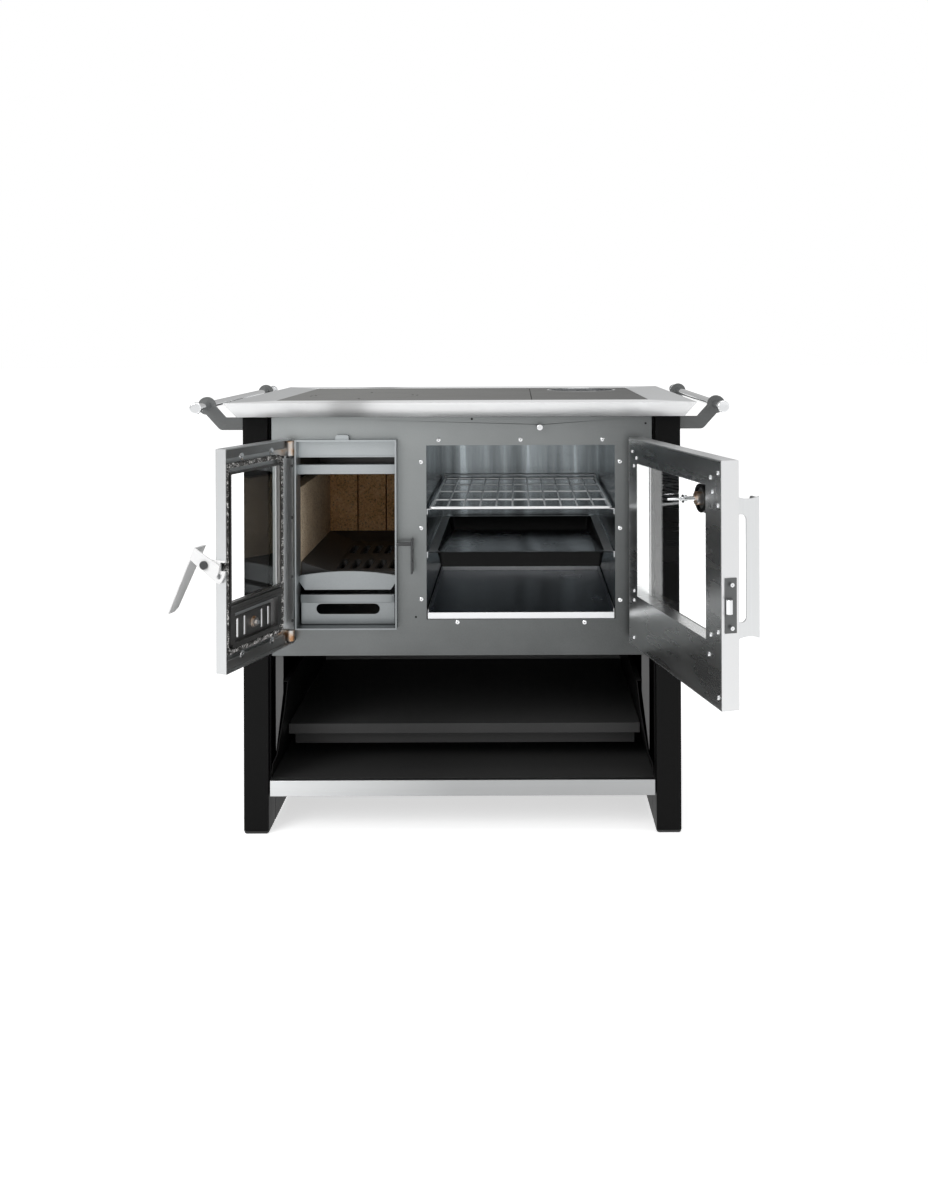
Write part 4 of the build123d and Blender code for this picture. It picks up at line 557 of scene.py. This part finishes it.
dressing = [
    # node, edge, slot, finish
    ("legs", 0.0009, "black_paint", "black"),
    ("foot_glides", 0.0, "glide", "plastic"),
    ("leg_runners", 0.0006, "black_paint", "black"),
    ("front_plate", 0.0004, "grey_paint", "plate"),
    ("side_panels", 0.0005, "black_paint", "black"),
    ("back_panel", 0.0005, "grey_paint", "backSheet"),
    ("cabinet_floor", 0.0005, "black_paint", "blackShelf"),
    ("hob_frame", 0.0, "grey_paint", "darkSheet"),
    ("hob_plate_left", 0.0004, "hob_steel", "hob"),
    ("hob_lid", 0.0004, "hob_steel", "hob"),
    ("hob_plate_right", 0.0004, "hob_steel", "hob"),
    ("flue_collar", 0.0004, "chromed", "polished"),
    ("rail_brackets", 0.0006, "grey_paint", "bracket"),
    ("rail_rods", 0.0, "chromed", "chrome"),
    ("rail_caps", 0.0008, "chromed", "chrome"),
    ("firebox_collar", 0.0005, "grey_paint", "collar"),
    ("firebox_housing", 0.0, "grey_paint", "darkSheet"),
    ("brick_ledges", 0.0, "grey_paint", "darkSheet"),
    ("firebricks_side", 0.0012, "firebrick", "brickSide"),
    ("firebricks_back", 0.0012, "firebrick", "brickBack"),
    ("throat_panel", 0.0005, "grey_paint", "collar"),
    ("flame_bar", 0.0005, "grey_paint", "collar"),
    ("fire_grate", 0.0012, "grate_iron", "grate"),
    ("log_guard", 0.0006, "grey_paint", "collar"),
    ("ash_drawer", 0.0005, "grey_paint", "collar"),
    ("oven_liner", 0.0, "polished", "liner"),
    ("oven_ledges", 0.0003, "polished", "polished"),
    ("gas_plate", 0.0, "grey_paint", "darkSheet"),
    ("damper_plate", 0.0, "grey_paint", "darkSheet"),
    ("damper_rod", 0.0, "chromed", "chrome"),
    ("damper_knob", 0.0, "chromed", "chrome"),
    ("shelf_trim", 0.0, "stainless", "trim"),
    ("bottom_shelf", 0.0006, "black_paint", "blackShelf"),
    ("middle_shelf", 0.0005, "black_paint", "midShelf"),
    ("side_guards", 0.0003, "black_paint", "black"),
    ("hanger_straps", 0.0005, "grey_paint", "darkSheet"),
    ("fire_door_shell", 0.0, "stainless", "fireSkin"),
    ("fire_door_glass", 0.0003, "door_glass", "glass"),
    ("glass_retainer", 0.0003, "stainless", "innerDoor"),
    ("fire_door_strips", 0.0004, "stainless", "doorBand"),
    ("fire_door_knuckles", 0.0006, "stainless", "tinted"),
    ("hinge_brackets", 0.0005, "black_bolt", "bolt"),
    ("air_slide", 0.0003, "stainless", "innerDoor"),
    ("lever_bracket", 0.0005, "stainless", "lever"),
    ("latch_lever", 0.0005, "stainless", "lever"),
    ("lever_bolt", 0.0006, "black_bolt", "bolt"),
    ("latch_keeper", 0.0005, "black_bolt", "bolt"),
    ("oven_door_shell", 0.0, "stainless", "ovenSkin"),
    ("oven_door_liner", 0.0003, "polished", "mirror"),
    ("oven_door_glass", 0.0003, "door_glass", "glass"),
    ("oven_handle", 0.0006, "stainless", "handle"),
    ("oven_door_knuckles", 0.0005, "black_bolt", "bolt"),
    ("catch_plate", 0.0004, "stainless", "bracket"),
    ("catch_roller", 0.0004, "chromed", "chrome"),
]
trayLooks = ("enamel", "enamelEdge", "black", "trayFloor")
for node, edge, slot, finish in dressing:
    rounded(node, edge, slot, finish)
rounded("top_rim", 0.0007, "stainless", "rimX", "rimY", pick=rimPick)
rounded("drip_pan", 0.0003, "polished", "panSteel", "bright", pick=panPick)
rounded("baking_tray", 0.0003, "enamel", *trayLooks, pick=trayPick)
print("dressed nodes", len(dressing) + 3)


def doorSpot(door, along, up, out):  # along the door from its pin, height, and out of its face
    turn = door["turn"]
    x = door["pivot"][0] + along * math.cos(turn) + out * math.sin(turn)
    y = door["pivot"][1] + along * math.sin(turn) - out * math.cos(turn)
    return Vector((x, y, up))


def doorFacing(door, along, out):
    return doorSpot(door, along, 0.0, out) - doorSpot(door, 0.0, 0.0, 0.0)


forward = Vector((0.0, -1.0, 0.0))
upward = Vector((0.0, 0.0, 1.0))
fireInward = doorFacing(fireDoor, 0.0, -1.0)
ovenInward = doorFacing(ovenDoor, 0.0, -1.0)
ovenOutward = doorFacing(ovenDoor, 0.0, 1.0)
ovenEdgeward = doorFacing(ovenDoor, -1.0, 0.0)


class PartTree(Sheet):  # a Geometry Nodes tree with named inputs
    def __init__(self, name, **inputs):
        super().__init__(bpy.data.node_groups.new(name, "GeometryNodeTree"))
        face = self.tree.interface
        face.new_socket("Geometry", in_out="OUTPUT", socket_type="NodeSocketGeometry")
        for kind, labels in inputs.items():
            for label in labels:
                face.new_socket(label, in_out="INPUT", socket_type="NodeSocket" + kind)
        start = self.add("NodeGroupInput")
        labels = [label for group in inputs.values() for label in group]
        self.given = {label: self.take(start, label) for label in labels}

    def vector(self, x=0.0, y=0.0, z=0.0):
        return self.add("ShaderNodeCombineXYZ", {}, {0: x, 1: y, 2: z})

    def moved(self, geometry, offset):
        values = {"Geometry": geometry, "Translation": offset}
        return self.add("GeometryNodeTransform", {}, values)

    def tube(self, curve, radius, sides, caps=False):
        circle = {"Resolution": sides, "Radius": radius}
        ring = self.add("GeometryNodeCurvePrimitiveCircle", {}, circle)
        values = {"Curve": curve, "Profile Curve": ring, "Fill Caps": caps}
        return self.add("GeometryNodeCurveToMesh", {}, values)

    def coated(self, geometry, label):
        values = {"Geometry": geometry, "Material": self.given[label]}
        return self.add("GeometryNodeSetMaterial", {}, values)

    def close(self, geometry):
        self.add("NodeGroupOutput", {}, {"Geometry": geometry})
        return self.tree


def applyTree(obj, tree, values):  # an input is set by its socket's identifier
    modifier = obj.modifiers.new("parts", "NODES")
    modifier.node_group = tree
    for item in tree.interface.items_tree:
        if item.in_out == "INPUT" and item.name in values:
            modifier[item.identifier] = values[item.name]
    return settled(obj, smoothing["addedEdge"])


headShares = {"rim": 0.6, "crown": 0.4, "crownWidth": 0.66, "sunk": 0.3}  # of a screw's head
recessShares = {"long": 2.0, "wide": 0.45, "up": 0.75}


def screwTree():  # a pan head with a crossed recess, set on every point
    sheet = PartTree(
        "screws",
        Geometry=["Geometry"],
        Float=["Head radius", "Head height", "Recess"],
        Int=["Sides"],
        Material=["Finish"],
    )
    given = sheet.given
    height = given["Head height"]
    wide = given["Recess"] * recessShares["long"]
    thin = given["Recess"] * recessShares["wide"]
    depth = height * headShares["rim"]
    disc = sheet.add(
        "GeometryNodeMeshCylinder",
        {},
        {"Vertices": given["Sides"], "Radius": given["Head radius"], "Depth": depth},
    )
    rise = height * headShares["crown"]
    grown = sheet.add(
        "GeometryNodeExtrudeMesh",
        {"mode": "FACES"},
        {"Mesh": disc, "Selection": sheet.take(disc, "Top"), "Offset Scale": rise},
    )
    top = sheet.take(grown, "Top")
    crown = sheet.add(
        "GeometryNodeScaleElements",
        {},
        {"Geometry": grown, "Selection": top, "Scale": headShares["crownWidth"]},
    )
    lift = sheet.vector(z=height * recessShares["up"])
    sizes = (sheet.vector(wide, thin, height), sheet.vector(thin, wide, height))
    bars = [sheet.add("GeometryNodeMeshCube", {}, {"Size": size}) for size in sizes]
    arms = [sheet.moved(bar, lift) for bar in bars]
    cut = sheet.add(
        "GeometryNodeMeshBoolean", {"operation": "DIFFERENCE"}, {"Mesh 1": crown, "Mesh 2": arms}
    )
    raised = sheet.moved(cut, sheet.vector(z=height * headShares["sunk"]))
    facing = sheet.add(
        "GeometryNodeInputNamedAttribute", {"data_type": "FLOAT_VECTOR"}, {"Name": "facing"}
    )
    spin = sheet.add("GeometryNodeInputNamedAttribute", {"data_type": "FLOAT"}, {"Name": "spin"})
    aligned = sheet.add("FunctionNodeAlignRotationToVector", {"axis": "Z"}, {"Vector": facing})
    cloud = sheet.add("GeometryNodeMeshToPoints", {}, {"Mesh": given["Geometry"]})
    placed = sheet.add(
        "GeometryNodeInstanceOnPoints",
        {},
        {"Points": cloud, "Instance": raised, "Rotation": aligned},
    )
    spun = sheet.add(
        "GeometryNodeRotateInstances",
        {},
        {"Instances": placed, "Rotation": sheet.vector(z=spin), "Local Space": True},
    )
    real = sheet.add("GeometryNodeRealizeInstances", {}, {"Geometry": spun})
    return sheet.close(sheet.coated(real, "Finish"))


screws = screwTree()
headTurn = {"step": 0.83, "quarter": 1.57}  # no two recesses lie alike


def screwSet(name, body, slot, facing, places, sizes):
    mesh = bpy.data.meshes.new(name)
    mesh.from_pydata([tuple(place) for place in places], [], [])
    mesh.attributes.new("facing", "FLOAT_VECTOR", "POINT")
    mesh.attributes.new("spin", "FLOAT", "POINT")
    for index in range(len(places)):
        mesh.attributes["facing"].data[index].vector = facing
        mesh.attributes["spin"].data[index].value = index * headTurn["step"] % headTurn["quarter"]
    values = {
        "Head radius": sizes["radius"],
        "Head height": sizes["height"],
        "Recess": sizes["recess"],
        "Sides": sizes.get("sides", 20),
        "Finish": finishes[sizes.get("finish", "screw")],
    }
    keep(applyTree(linked(name, mesh), screws, values), body, slot)


plateScrews = {
    "radius": 0.0041, "height": 0.0024, "recess": 0.0021, "face": -0.266,
    "places": [
        (-0.0455, 0.773), (0.1160, 0.773), (0.2779, 0.773), (-0.0804, 0.7295),
        (-0.0804, 0.5992), (-0.0804, 0.4593), (0.3116, 0.7293), (0.3116, 0.5981),
        (0.3116, 0.4565), (-0.0092, 0.4137), (0.2411, 0.4126),
    ],
}
screwSet(
    "frontPlateScrews", "stove", "chromed", forward,
    [(x, plateScrews["face"], z) for x, z in plateScrews["places"]], plateScrews,
)
linerScrews = {
    "radius": 0.0036, "height": 0.0022, "recess": 0.0018, "face": -0.016,
    "places": [
        (-0.0255, 0.754), (-0.0477, 0.7433), (-0.0347, 0.7271), (-0.4134, 0.7577),
        (-0.3848, 0.7474), (-0.3921, 0.7251), (-0.4135, 0.7057), (-0.0337, 0.4874),
        (-0.0337, 0.4693), (-0.0315, 0.3967), (-0.3848, 0.4925), (-0.4125, 0.5031),
        (-0.3782, 0.4589), (-0.4134, 0.3985),
    ],
}
screwSet(
    "ovenDoorScrews", "oven_door", "chromed", ovenInward,
    [doorSpot(ovenDoor, along, up, linerScrews["face"]) for along, up in linerScrews["places"]],
    linerScrews,
)
stripBolts = {
    "radius": 0.0072, "height": 0.0017, "recess": 0.0026, "sides": 6, "face": 0.0015,
    "places": [(0.062, 0.760), (0.062, 0.4005), (0.160, 0.760), (0.160, 0.4005)],
}
screwSet(
    "stripBolts", "fire_door", "chromed", fireInward,
    [doorSpot(fireDoor, along, up, stripBolts["face"]) for along, up in stripBolts["places"]],
    stripBolts,
)
sideScrews = {
    "radius": 0.0032, "height": 0.0018, "recess": 0.0014, "finish": "bolt",
    "along": 0.0056, "face": -0.008, "up": (0.726, 0.625, 0.510, 0.425),
}
screwSet(
    "fireDoorSideScrews", "fire_door", "chromed", fireInward,
    [doorSpot(fireDoor, sideScrews["along"], up, sideScrews["face"]) for up in sideScrews["up"]],
    sideScrews,
)
hobPins = {
    "radius": 0.0024, "height": 0.0005, "recess": 0.0006, "finish": "shade", "face": 0.850,
    "lid": [(-0.322, -0.068), (-0.116, -0.048)], "plate": [(-0.213, -0.187), (-0.217, 0.054)],
}
for label, body in (("lid", "hob_lid"), ("plate", "stove")):
    places = [(x, y, hobPins["face"]) for x, y in hobPins[label]]
    screwSet(label + "Pins", body, "black_bolt", upward, places, hobPins)
catchScrews = {
    "radius": 0.0034, "height": 0.0005, "recess": 0.0015,
    "along": -0.4343, "face": -0.0005, "up": (0.582, 0.513),
}
screwSet(
    "catchPlateScrews", "oven_door", "chromed", ovenEdgeward,
    [doorSpot(ovenDoor, catchScrews["along"], up, catchScrews["face"]) for up in catchScrews["up"]],
    catchScrews,
)
plateHoles = {
    "radius": 0.0022, "height": 0.0004, "recess": 0.0004, "finish": "shade", "face": -0.266,
    "places": [(0.0203, 0.8139), (0.3627, 0.8044), (-0.0912, 0.424)],
}
screwSet(
    "frontPlateHoles", "stove", "black_bolt", forward,
    [(x, plateHoles["face"], z) for x, z in plateHoles["places"]], plateHoles,
)
print("screws")


def rackTree():  # wires in a frame, cross wires on given points and a raised stop at the back
    sheet = PartTree(
        "wireRack",
        Geometry=["Geometry"],
        Float=["Width", "Length", "Frame radius", "Wire radius", "Corner", "Stop rise"],
        Int=["Wires", "Wire sides", "Frame sides", "Corner points"],
        Vector=["Place"],
        Material=["Finish"],
    )
    given, vector = sheet.given, sheet.vector
    width, length, rise = given["Width"], given["Length"], given["Stop rise"]

    def bar(low, high):
        line = sheet.add("GeometryNodeCurvePrimitiveLine", {}, {"Start": low, "End": high})
        return sheet.tube(line, given["Wire radius"], given["Wire sides"], caps=True)

    step = vector(width / (given["Wires"] + 1.0))
    row = sheet.add(
        "GeometryNodeMeshLine",
        {},
        {"Count": given["Wires"], "Start Location": step, "Offset": step},
    )
    deep = {"Points": row, "Instance": bar(vector(), vector(0.0, length))}
    across = {"Points": given["Geometry"], "Instance": bar(vector(), vector(width))}
    stop = bar(vector(0.0, length, rise), vector(width, length, rise))
    posts = [bar(vector(side, length), vector(side, length, rise)) for side in (0.0, width)]
    outline = sheet.add(
        "GeometryNodeCurvePrimitiveQuadrilateral", {}, {"Width": width, "Height": length}
    )
    cornered = sheet.add(
        "GeometryNodeFilletCurve",
        {"mode": "POLY"},
        {"Curve": outline, "Radius": given["Corner"], "Count": given["Corner points"]},
    )
    border = sheet.tube(cornered, given["Frame radius"], given["Frame sides"])
    pieces = [
        sheet.add("GeometryNodeInstanceOnPoints", {}, deep),
        sheet.add("GeometryNodeInstanceOnPoints", {}, across),
        stop,
        *posts,
        sheet.moved(border, vector(width * 0.5, length * 0.5)),
    ]
    joined = sheet.add("GeometryNodeJoinGeometry", {}, {"Geometry": pieces})
    placed = sheet.moved(joined, given["Place"])
    real = sheet.add("GeometryNodeRealizeInstances", {}, {"Geometry": placed})
    return sheet.close(sheet.coated(real, "Finish"))


rack = {
    "Place": (-0.062, -0.260, 0.638), "Width": 0.356, "Length": 0.454, "Frame radius": 0.003,
    "Wire radius": 0.002, "Corner": 0.006, "Stop rise": 0.009, "Wires": 10, "Wire sides": 10,
    "Frame sides": 14, "Corner points": 5,
    "cross": (0.24, 0.51, 0.76),  # shares of the length
    "Finish": finishes["wire"],
}
crossPoints = bpy.data.meshes.new("ovenRack")
crossPoints.from_pydata([(0.0, share * rack["Length"], 0.0) for share in rack["cross"]], [], [])
keep(
    applyTree(linked("ovenRack", crossPoints), rackTree(), rack), "oven_rack", "wire", "oven_rack"
)
print("oven rack")


def ropeTree():  # strands braided round a core, along a curve
    sheet = PartTree(
        "braidedRope",
        Geometry=["Geometry"],
        Float=["Rope radius", "Strand radius", "Core radius", "Twists", "Crossings", "Weave"],
        Int=["Strands", "Points", "Strand sides", "Core sides"],
        Vector=["Facing"],
        Material=["Strand finish", "Core finish"],
    )
    given = sheet.given
    line = sheet.add(
        "GeometryNodeResampleCurve",
        {"mode": "COUNT"},
        {"Curve": given["Geometry"], "Count": given["Points"]},
    )
    copies = sheet.add(
        "GeometryNodeDuplicateElements",
        {"domain": "SPLINE"},
        {"Geometry": line, "Amount": given["Strands"]},
    )
    numbered = sheet.add(
        "GeometryNodeStoreNamedAttribute",
        {"data_type": "FLOAT", "domain": "CURVE"},
        {"Geometry": copies, "Name": "strand", "Value": sheet.take(copies, "Duplicate Index")},
    )
    strand = sheet.add(
        "GeometryNodeInputNamedAttribute", {"data_type": "FLOAT"}, {"Name": "strand"}
    )
    share = sheet.add("GeometryNodeSplineParameter")
    way = 1.0 - 2.0 * strand.remainder(2.0)  # every other strand winds back
    phase = strand / given["Strands"] * math.tau
    angle = way * share * given["Twists"] * math.tau + phase
    weave = (share * given["Crossings"] * math.tau + phase).sine() * way
    thick = given["Strand radius"]
    reach = given["Rope radius"] - thick * 2.0 + weave * thick * given["Weave"]

    def scaled(vector, amount):
        return sheet.add(
            "ShaderNodeVectorMath", {"operation": "SCALE"}, {0: vector, "Scale": amount}
        )

    tangent = sheet.add("GeometryNodeInputTangent")
    sideways = sheet.add(
        "ShaderNodeVectorMath", {"operation": "CROSS_PRODUCT"}, {0: tangent, 1: given["Facing"]}
    )
    aside = scaled(sideways, angle.cosine() * reach)
    inwards = scaled(given["Facing"], angle.sine() * reach)
    offset = sheet.add("ShaderNodeVectorMath", {"operation": "ADD"}, {0: aside, 1: inwards})
    braid = sheet.add("GeometryNodeSetPosition", {}, {"Geometry": numbered, "Offset": offset})
    cover = sheet.coated(sheet.tube(braid, thick, given["Strand sides"]), "Strand finish")
    inner = sheet.tube(line, given["Core radius"], given["Core sides"])
    core = sheet.coated(inner, "Core finish")
    joined = sheet.add("GeometryNodeJoinGeometry", {}, {"Geometry": [cover, core]})
    return sheet.close(sheet.add("GeometryNodeRealizeInstances", {}, {"Geometry": joined}))


rope = {
    "left": 0.021, "right": 0.201, "bottom": 0.410, "top": 0.746, "corner": 0.014,
    "cornerSteps": 6, "back": 0.012, "Rope radius": 0.0057, "Strand radius": 0.00125,
    "Core radius": 0.0036, "Strands": 8, "Points": 900, "Twists": 96.0, "Crossings": 384.0,
    "Weave": 0.6, "Strand sides": 5, "Core sides": 10, "Facing": tuple(fireInward),
    "Strand finish": finishes["ropeStrand"], "Core finish": finishes["ropeCore"],
}


def ropeRoute(name):  # a rounded rectangle inside the fire door
    left, right, bottom, top = (rope[side] for side in ("left", "right", "bottom", "top"))
    radius = rope["corner"]
    path = []
    for x, z, start in (
        (right, bottom, -90.0), (right, top, 0.0), (left, top, 90.0), (left, bottom, 180.0)
    ):
        inX = x - math.copysign(radius, x - (left + right) / 2)
        inZ = z - math.copysign(radius, z - (bottom + top) / 2)
        for step in range(rope["cornerSteps"] + 1):
            angle = math.radians(start + step * 90.0 / rope["cornerSteps"])
            path.append((inX + radius * math.cos(angle), inZ + radius * math.sin(angle)))
    curve = bpy.data.curves.new(name, "CURVE")
    curve.dimensions = "3D"
    spline = curve.splines.new("POLY")
    spline.points.add(len(path) - 1)
    for point, (along, up) in zip(spline.points, path):
        point.co = (*doorSpot(fireDoor, along, up, rope["back"] - rope["Rope radius"]), 1.0)
    spline.use_cyclic_u = True
    return linked(name, curve)


keep(applyTree(ropeRoute("ropeGasket"), ropeTree(), rope), "fire_door", "rope", "rope_gasket")
print("rope gasket")


def lathe(name, profile, centre, axis, finish, sides):  # radius and height, from end to end
    turn = axis.to_track_quat("Z", "Y").to_matrix()
    mesh = bmesh.new()

    def corner(radius, height, step):
        angle = math.tau * step / sides
        spot = Vector((radius * math.cos(angle), radius * math.sin(angle), height))
        return mesh.verts.new(centre + turn @ spot)

    rings = [
        [corner(radius, height, step) for step in range(sides if radius else 1)]
        for radius, height in profile
    ]
    if profile[0] == profile[-1]:  # a ring round the axis closes on itself
        for extra in rings.pop():
            mesh.verts.remove(extra)
        rings.append(rings[0])
    for first, second in zip(rings, rings[1:]):
        for step in range(sides):
            after = (step + 1) % sides
            if len(first) == 1:
                mesh.faces.new((first[0], second[step], second[after]))
            elif len(second) == 1:
                mesh.faces.new((first[step], second[0], first[after]))
            else:
                mesh.faces.new((first[step], second[step], second[after], first[after]))
    bmesh.ops.recalc_face_normals(mesh, faces=mesh.faces)
    made = bpy.data.meshes.new(name)
    mesh.to_mesh(made)
    mesh.free()
    made.shade_smooth()
    made.set_sharp_from_angle(angle=math.radians(smoothing["addedEdge"]))
    return linked(name, made, finishes[finish])


# Thermometer: turned pieces on one axis through the oven door's glass
dial = {"along": -0.304, "up": 0.702, "radius": 0.026, "skin": 0.0125, "thick": 0.014}
dialSpot = doorSpot(ovenDoor, dial["along"], dial["up"], 0.0)
radius = dial["radius"]
back = dial["skin"]
front = back + dial["thick"]
dialPieces = [
    # piece, profile, finish, sides, slot, replaced nodes
    (
        "thermometerCase",
        [
            (0.0, back + 0.001), (radius * 0.55, back + 0.001), (radius * 0.6, back),
            (radius * 0.94, back), (radius, back + 0.0015), (radius, front - 0.002),
            (radius * 0.97, front), (radius * 0.89, front), (radius * 0.86, front - 0.0022),
            (0.0, front - 0.0022),
        ],
        "black", 64, "black_bolt", ["thermometer"],
    ),
    (
        "thermometerStem",
        [
            (0.0, -0.058), (0.0014, -0.0575), (0.0019, -0.056), (0.0019, -0.034),
            (0.0032, -0.0335), (0.0032, -0.030), (0.0072, -0.0295), (0.0072, -0.0235),
            (0.0042, -0.023), (0.0042, back), (0.0, back),
        ],
        "chrome", 24, "chromed", [],
    ),
    (
        "thermometerFace",
        [
            (0.0, front - 0.0021), (radius * 0.86, front - 0.0021),
            (radius * 0.86, front - 0.0016), (0.0, front - 0.0016),
        ],
        "dialFace", 48, "stainless", [],
    ),
    (
        "thermometerRing",
        [(0.0185, 0.0088), (0.0185, 0.002), (0.0245, 0.002), (0.0245, 0.0088), (0.0185, 0.0088)],
        "black", 40, "chromed", [],
    ),
    (
        "thermometerDish",
        [(0.0072, 0.0086), (0.0072, 0.005), (0.0182, 0.005), (0.0182, 0.0086), (0.0072, 0.0086)],
        "bracket", 40, "chromed", [],
    ),
    (
        "thermometerHub",
        [(0.0046, 0.0048), (0.0046, -0.006), (0.0115, -0.006), (0.0115, 0.0048), (0.0046, 0.0048)],
        "tinted", 40, "chromed", [],
    ),
]
for name, profile, finish, sides, slot, replaced in dialPieces:
    made = lathe(name, profile, dialSpot, ovenOutward, finish, sides)
    keep(made, "oven_door", slot, *replaced)
print("thermometer")

slideNut = {
    "along": 0.111, "up": 0.447, "face": 0.010,
    "pieces": [
        # piece, radius, back, front, sides, finish
        ("airSlideWasher", 0.0105, 0.0002, 0.0016, 32, "tinted"),
        ("airSlideNut", 0.0078, 0.0018, 0.0075, 6, "tinted"),
        ("airSlideStud", 0.0036, 0.0077, 0.0115, 24, "screw"),
    ],
}
slideSpot = doorSpot(fireDoor, slideNut["along"], slideNut["up"], slideNut["face"])
for name, radius, back, front, sides, finish in slideNut["pieces"]:
    profile = [(0.0, back), (radius, back), (radius, front), (0.0, front)]
    keep(lathe(name, profile, slideSpot, fireInward, finish, sides), "air_slide", "chromed")
print("slide nut")

# Floor, light and camera
studio = {
    "floorHalf": 30.0, "floorSeen": 0.62, "floorMirrored": 0.46, "sky": 0.62, "white": 1.0,
    "mirroredBack": 0.50, "mirroredFront": 0.55, "mirroredRight": 0.35,
}
white = (1.0, 1.0, 1.0, 1.0)


def stageFloor(name):
    made = Finish(name, Roughness=0.9, Base_Color=(0.82, 0.82, 0.82, 1.0), Emission_Color=white)
    rays = made.add("ShaderNodeLightPath")
    seen = made.take(rays, "Is Camera Ray") * studio["floorSeen"]
    mirrored = made.take(rays, "Is Glossy Ray") * studio["floorMirrored"]
    through = made.take(rays, "Is Transmission Ray") * studio["floorSeen"]
    return made.feed(Emission_Strength=seen + mirrored + through)


half = studio["floorHalf"]
floorMesh = bpy.data.meshes.new("studioFloor")
corners = [(-half, -half, 0.0), (half, -half, 0.0), (half, half, 0.0), (-half, half, 0.0)]
floorMesh.from_pydata(corners, [], [(0, 1, 2, 3)])
linked("studioFloor", floorMesh, stageFloor("studioFloor"))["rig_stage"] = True

world = bpy.data.worlds.new("studio")
bpy.context.scene.world = world
world.use_nodes = True
world.node_tree.nodes.clear()
sky = Sheet(world.node_tree)
rays = sky.add("ShaderNodeLightPath")
isGlossy = sky.take(rays, "Is Glossy Ray")
isSeen = sky.take(rays, "Is Camera Ray").orMore(sky.take(rays, "Is Transmission Ray"))
east, north, _ = sky.axes(sky.add("ShaderNodeTexCoord", out="Generated"))
toFront = north * -0.5 + 0.5
mirrored = studio["mirroredBack"] + toFront * studio["mirroredFront"]
mirrored = mirrored * (1.0 + east * studio["mirroredRight"])
unseen = isGlossy * mirrored + (1.0 - isGlossy) * studio["sky"]
strength = (1.0 - isSeen) * unseen + isSeen * studio["white"]
shine = sky.add("ShaderNodeBackground", {}, {"Color": white, "Strength": strength})
sky.add("ShaderNodeOutputWorld", {}, {0: shine})

lamps = [
    # name, place, aim, size, watts
    ("keyLight", (-2.2, -2.6, 2.4), (0.0, -0.1, 0.6), (1.8, 1.8), 55.0),
    ("topLight", (0.3, -0.2, 3.2), (0.0, 0.0, 0.8), (2.4, 1.6), 28.0),
]
for name, place, aim, size, watts in lamps:
    light = bpy.data.lights.new(name, "AREA")
    light.shape = "RECTANGLE"
    light.size, light.size_y = size
    light.energy = watts
    lamp = linked(name, light)
    lamp.location = place
    lamp.rotation_euler = (Vector(aim) - Vector(place)).to_track_quat("-Z", "Y").to_euler()

view = {
    "place": (0.110, -2.513, 0.983), "lens": 34.2, "film": 36.0, "shift": (-0.0442, -0.2225),
    "tilt": 90.0, "roll": 0.2,
}
cameraData = bpy.data.cameras.new("camera")
cameraData.lens = view["lens"]
cameraData.sensor_width = view["film"]
cameraData.shift_x, cameraData.shift_y = view["shift"]
cameraData.clip_end = 100.0
camera = linked("camera", cameraData)
camera.location = view["place"]
camera.rotation_euler = (math.radians(view["tilt"]), math.radians(view["roll"]), 0.0)
bpy.context.scene.camera = camera
bpy.context.scene.view_settings.view_transform = "Standard"
print("studio")

size = {
    "cad": [list(corner) for corner in cadBox],
    "visual": [list(corner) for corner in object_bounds()],
}
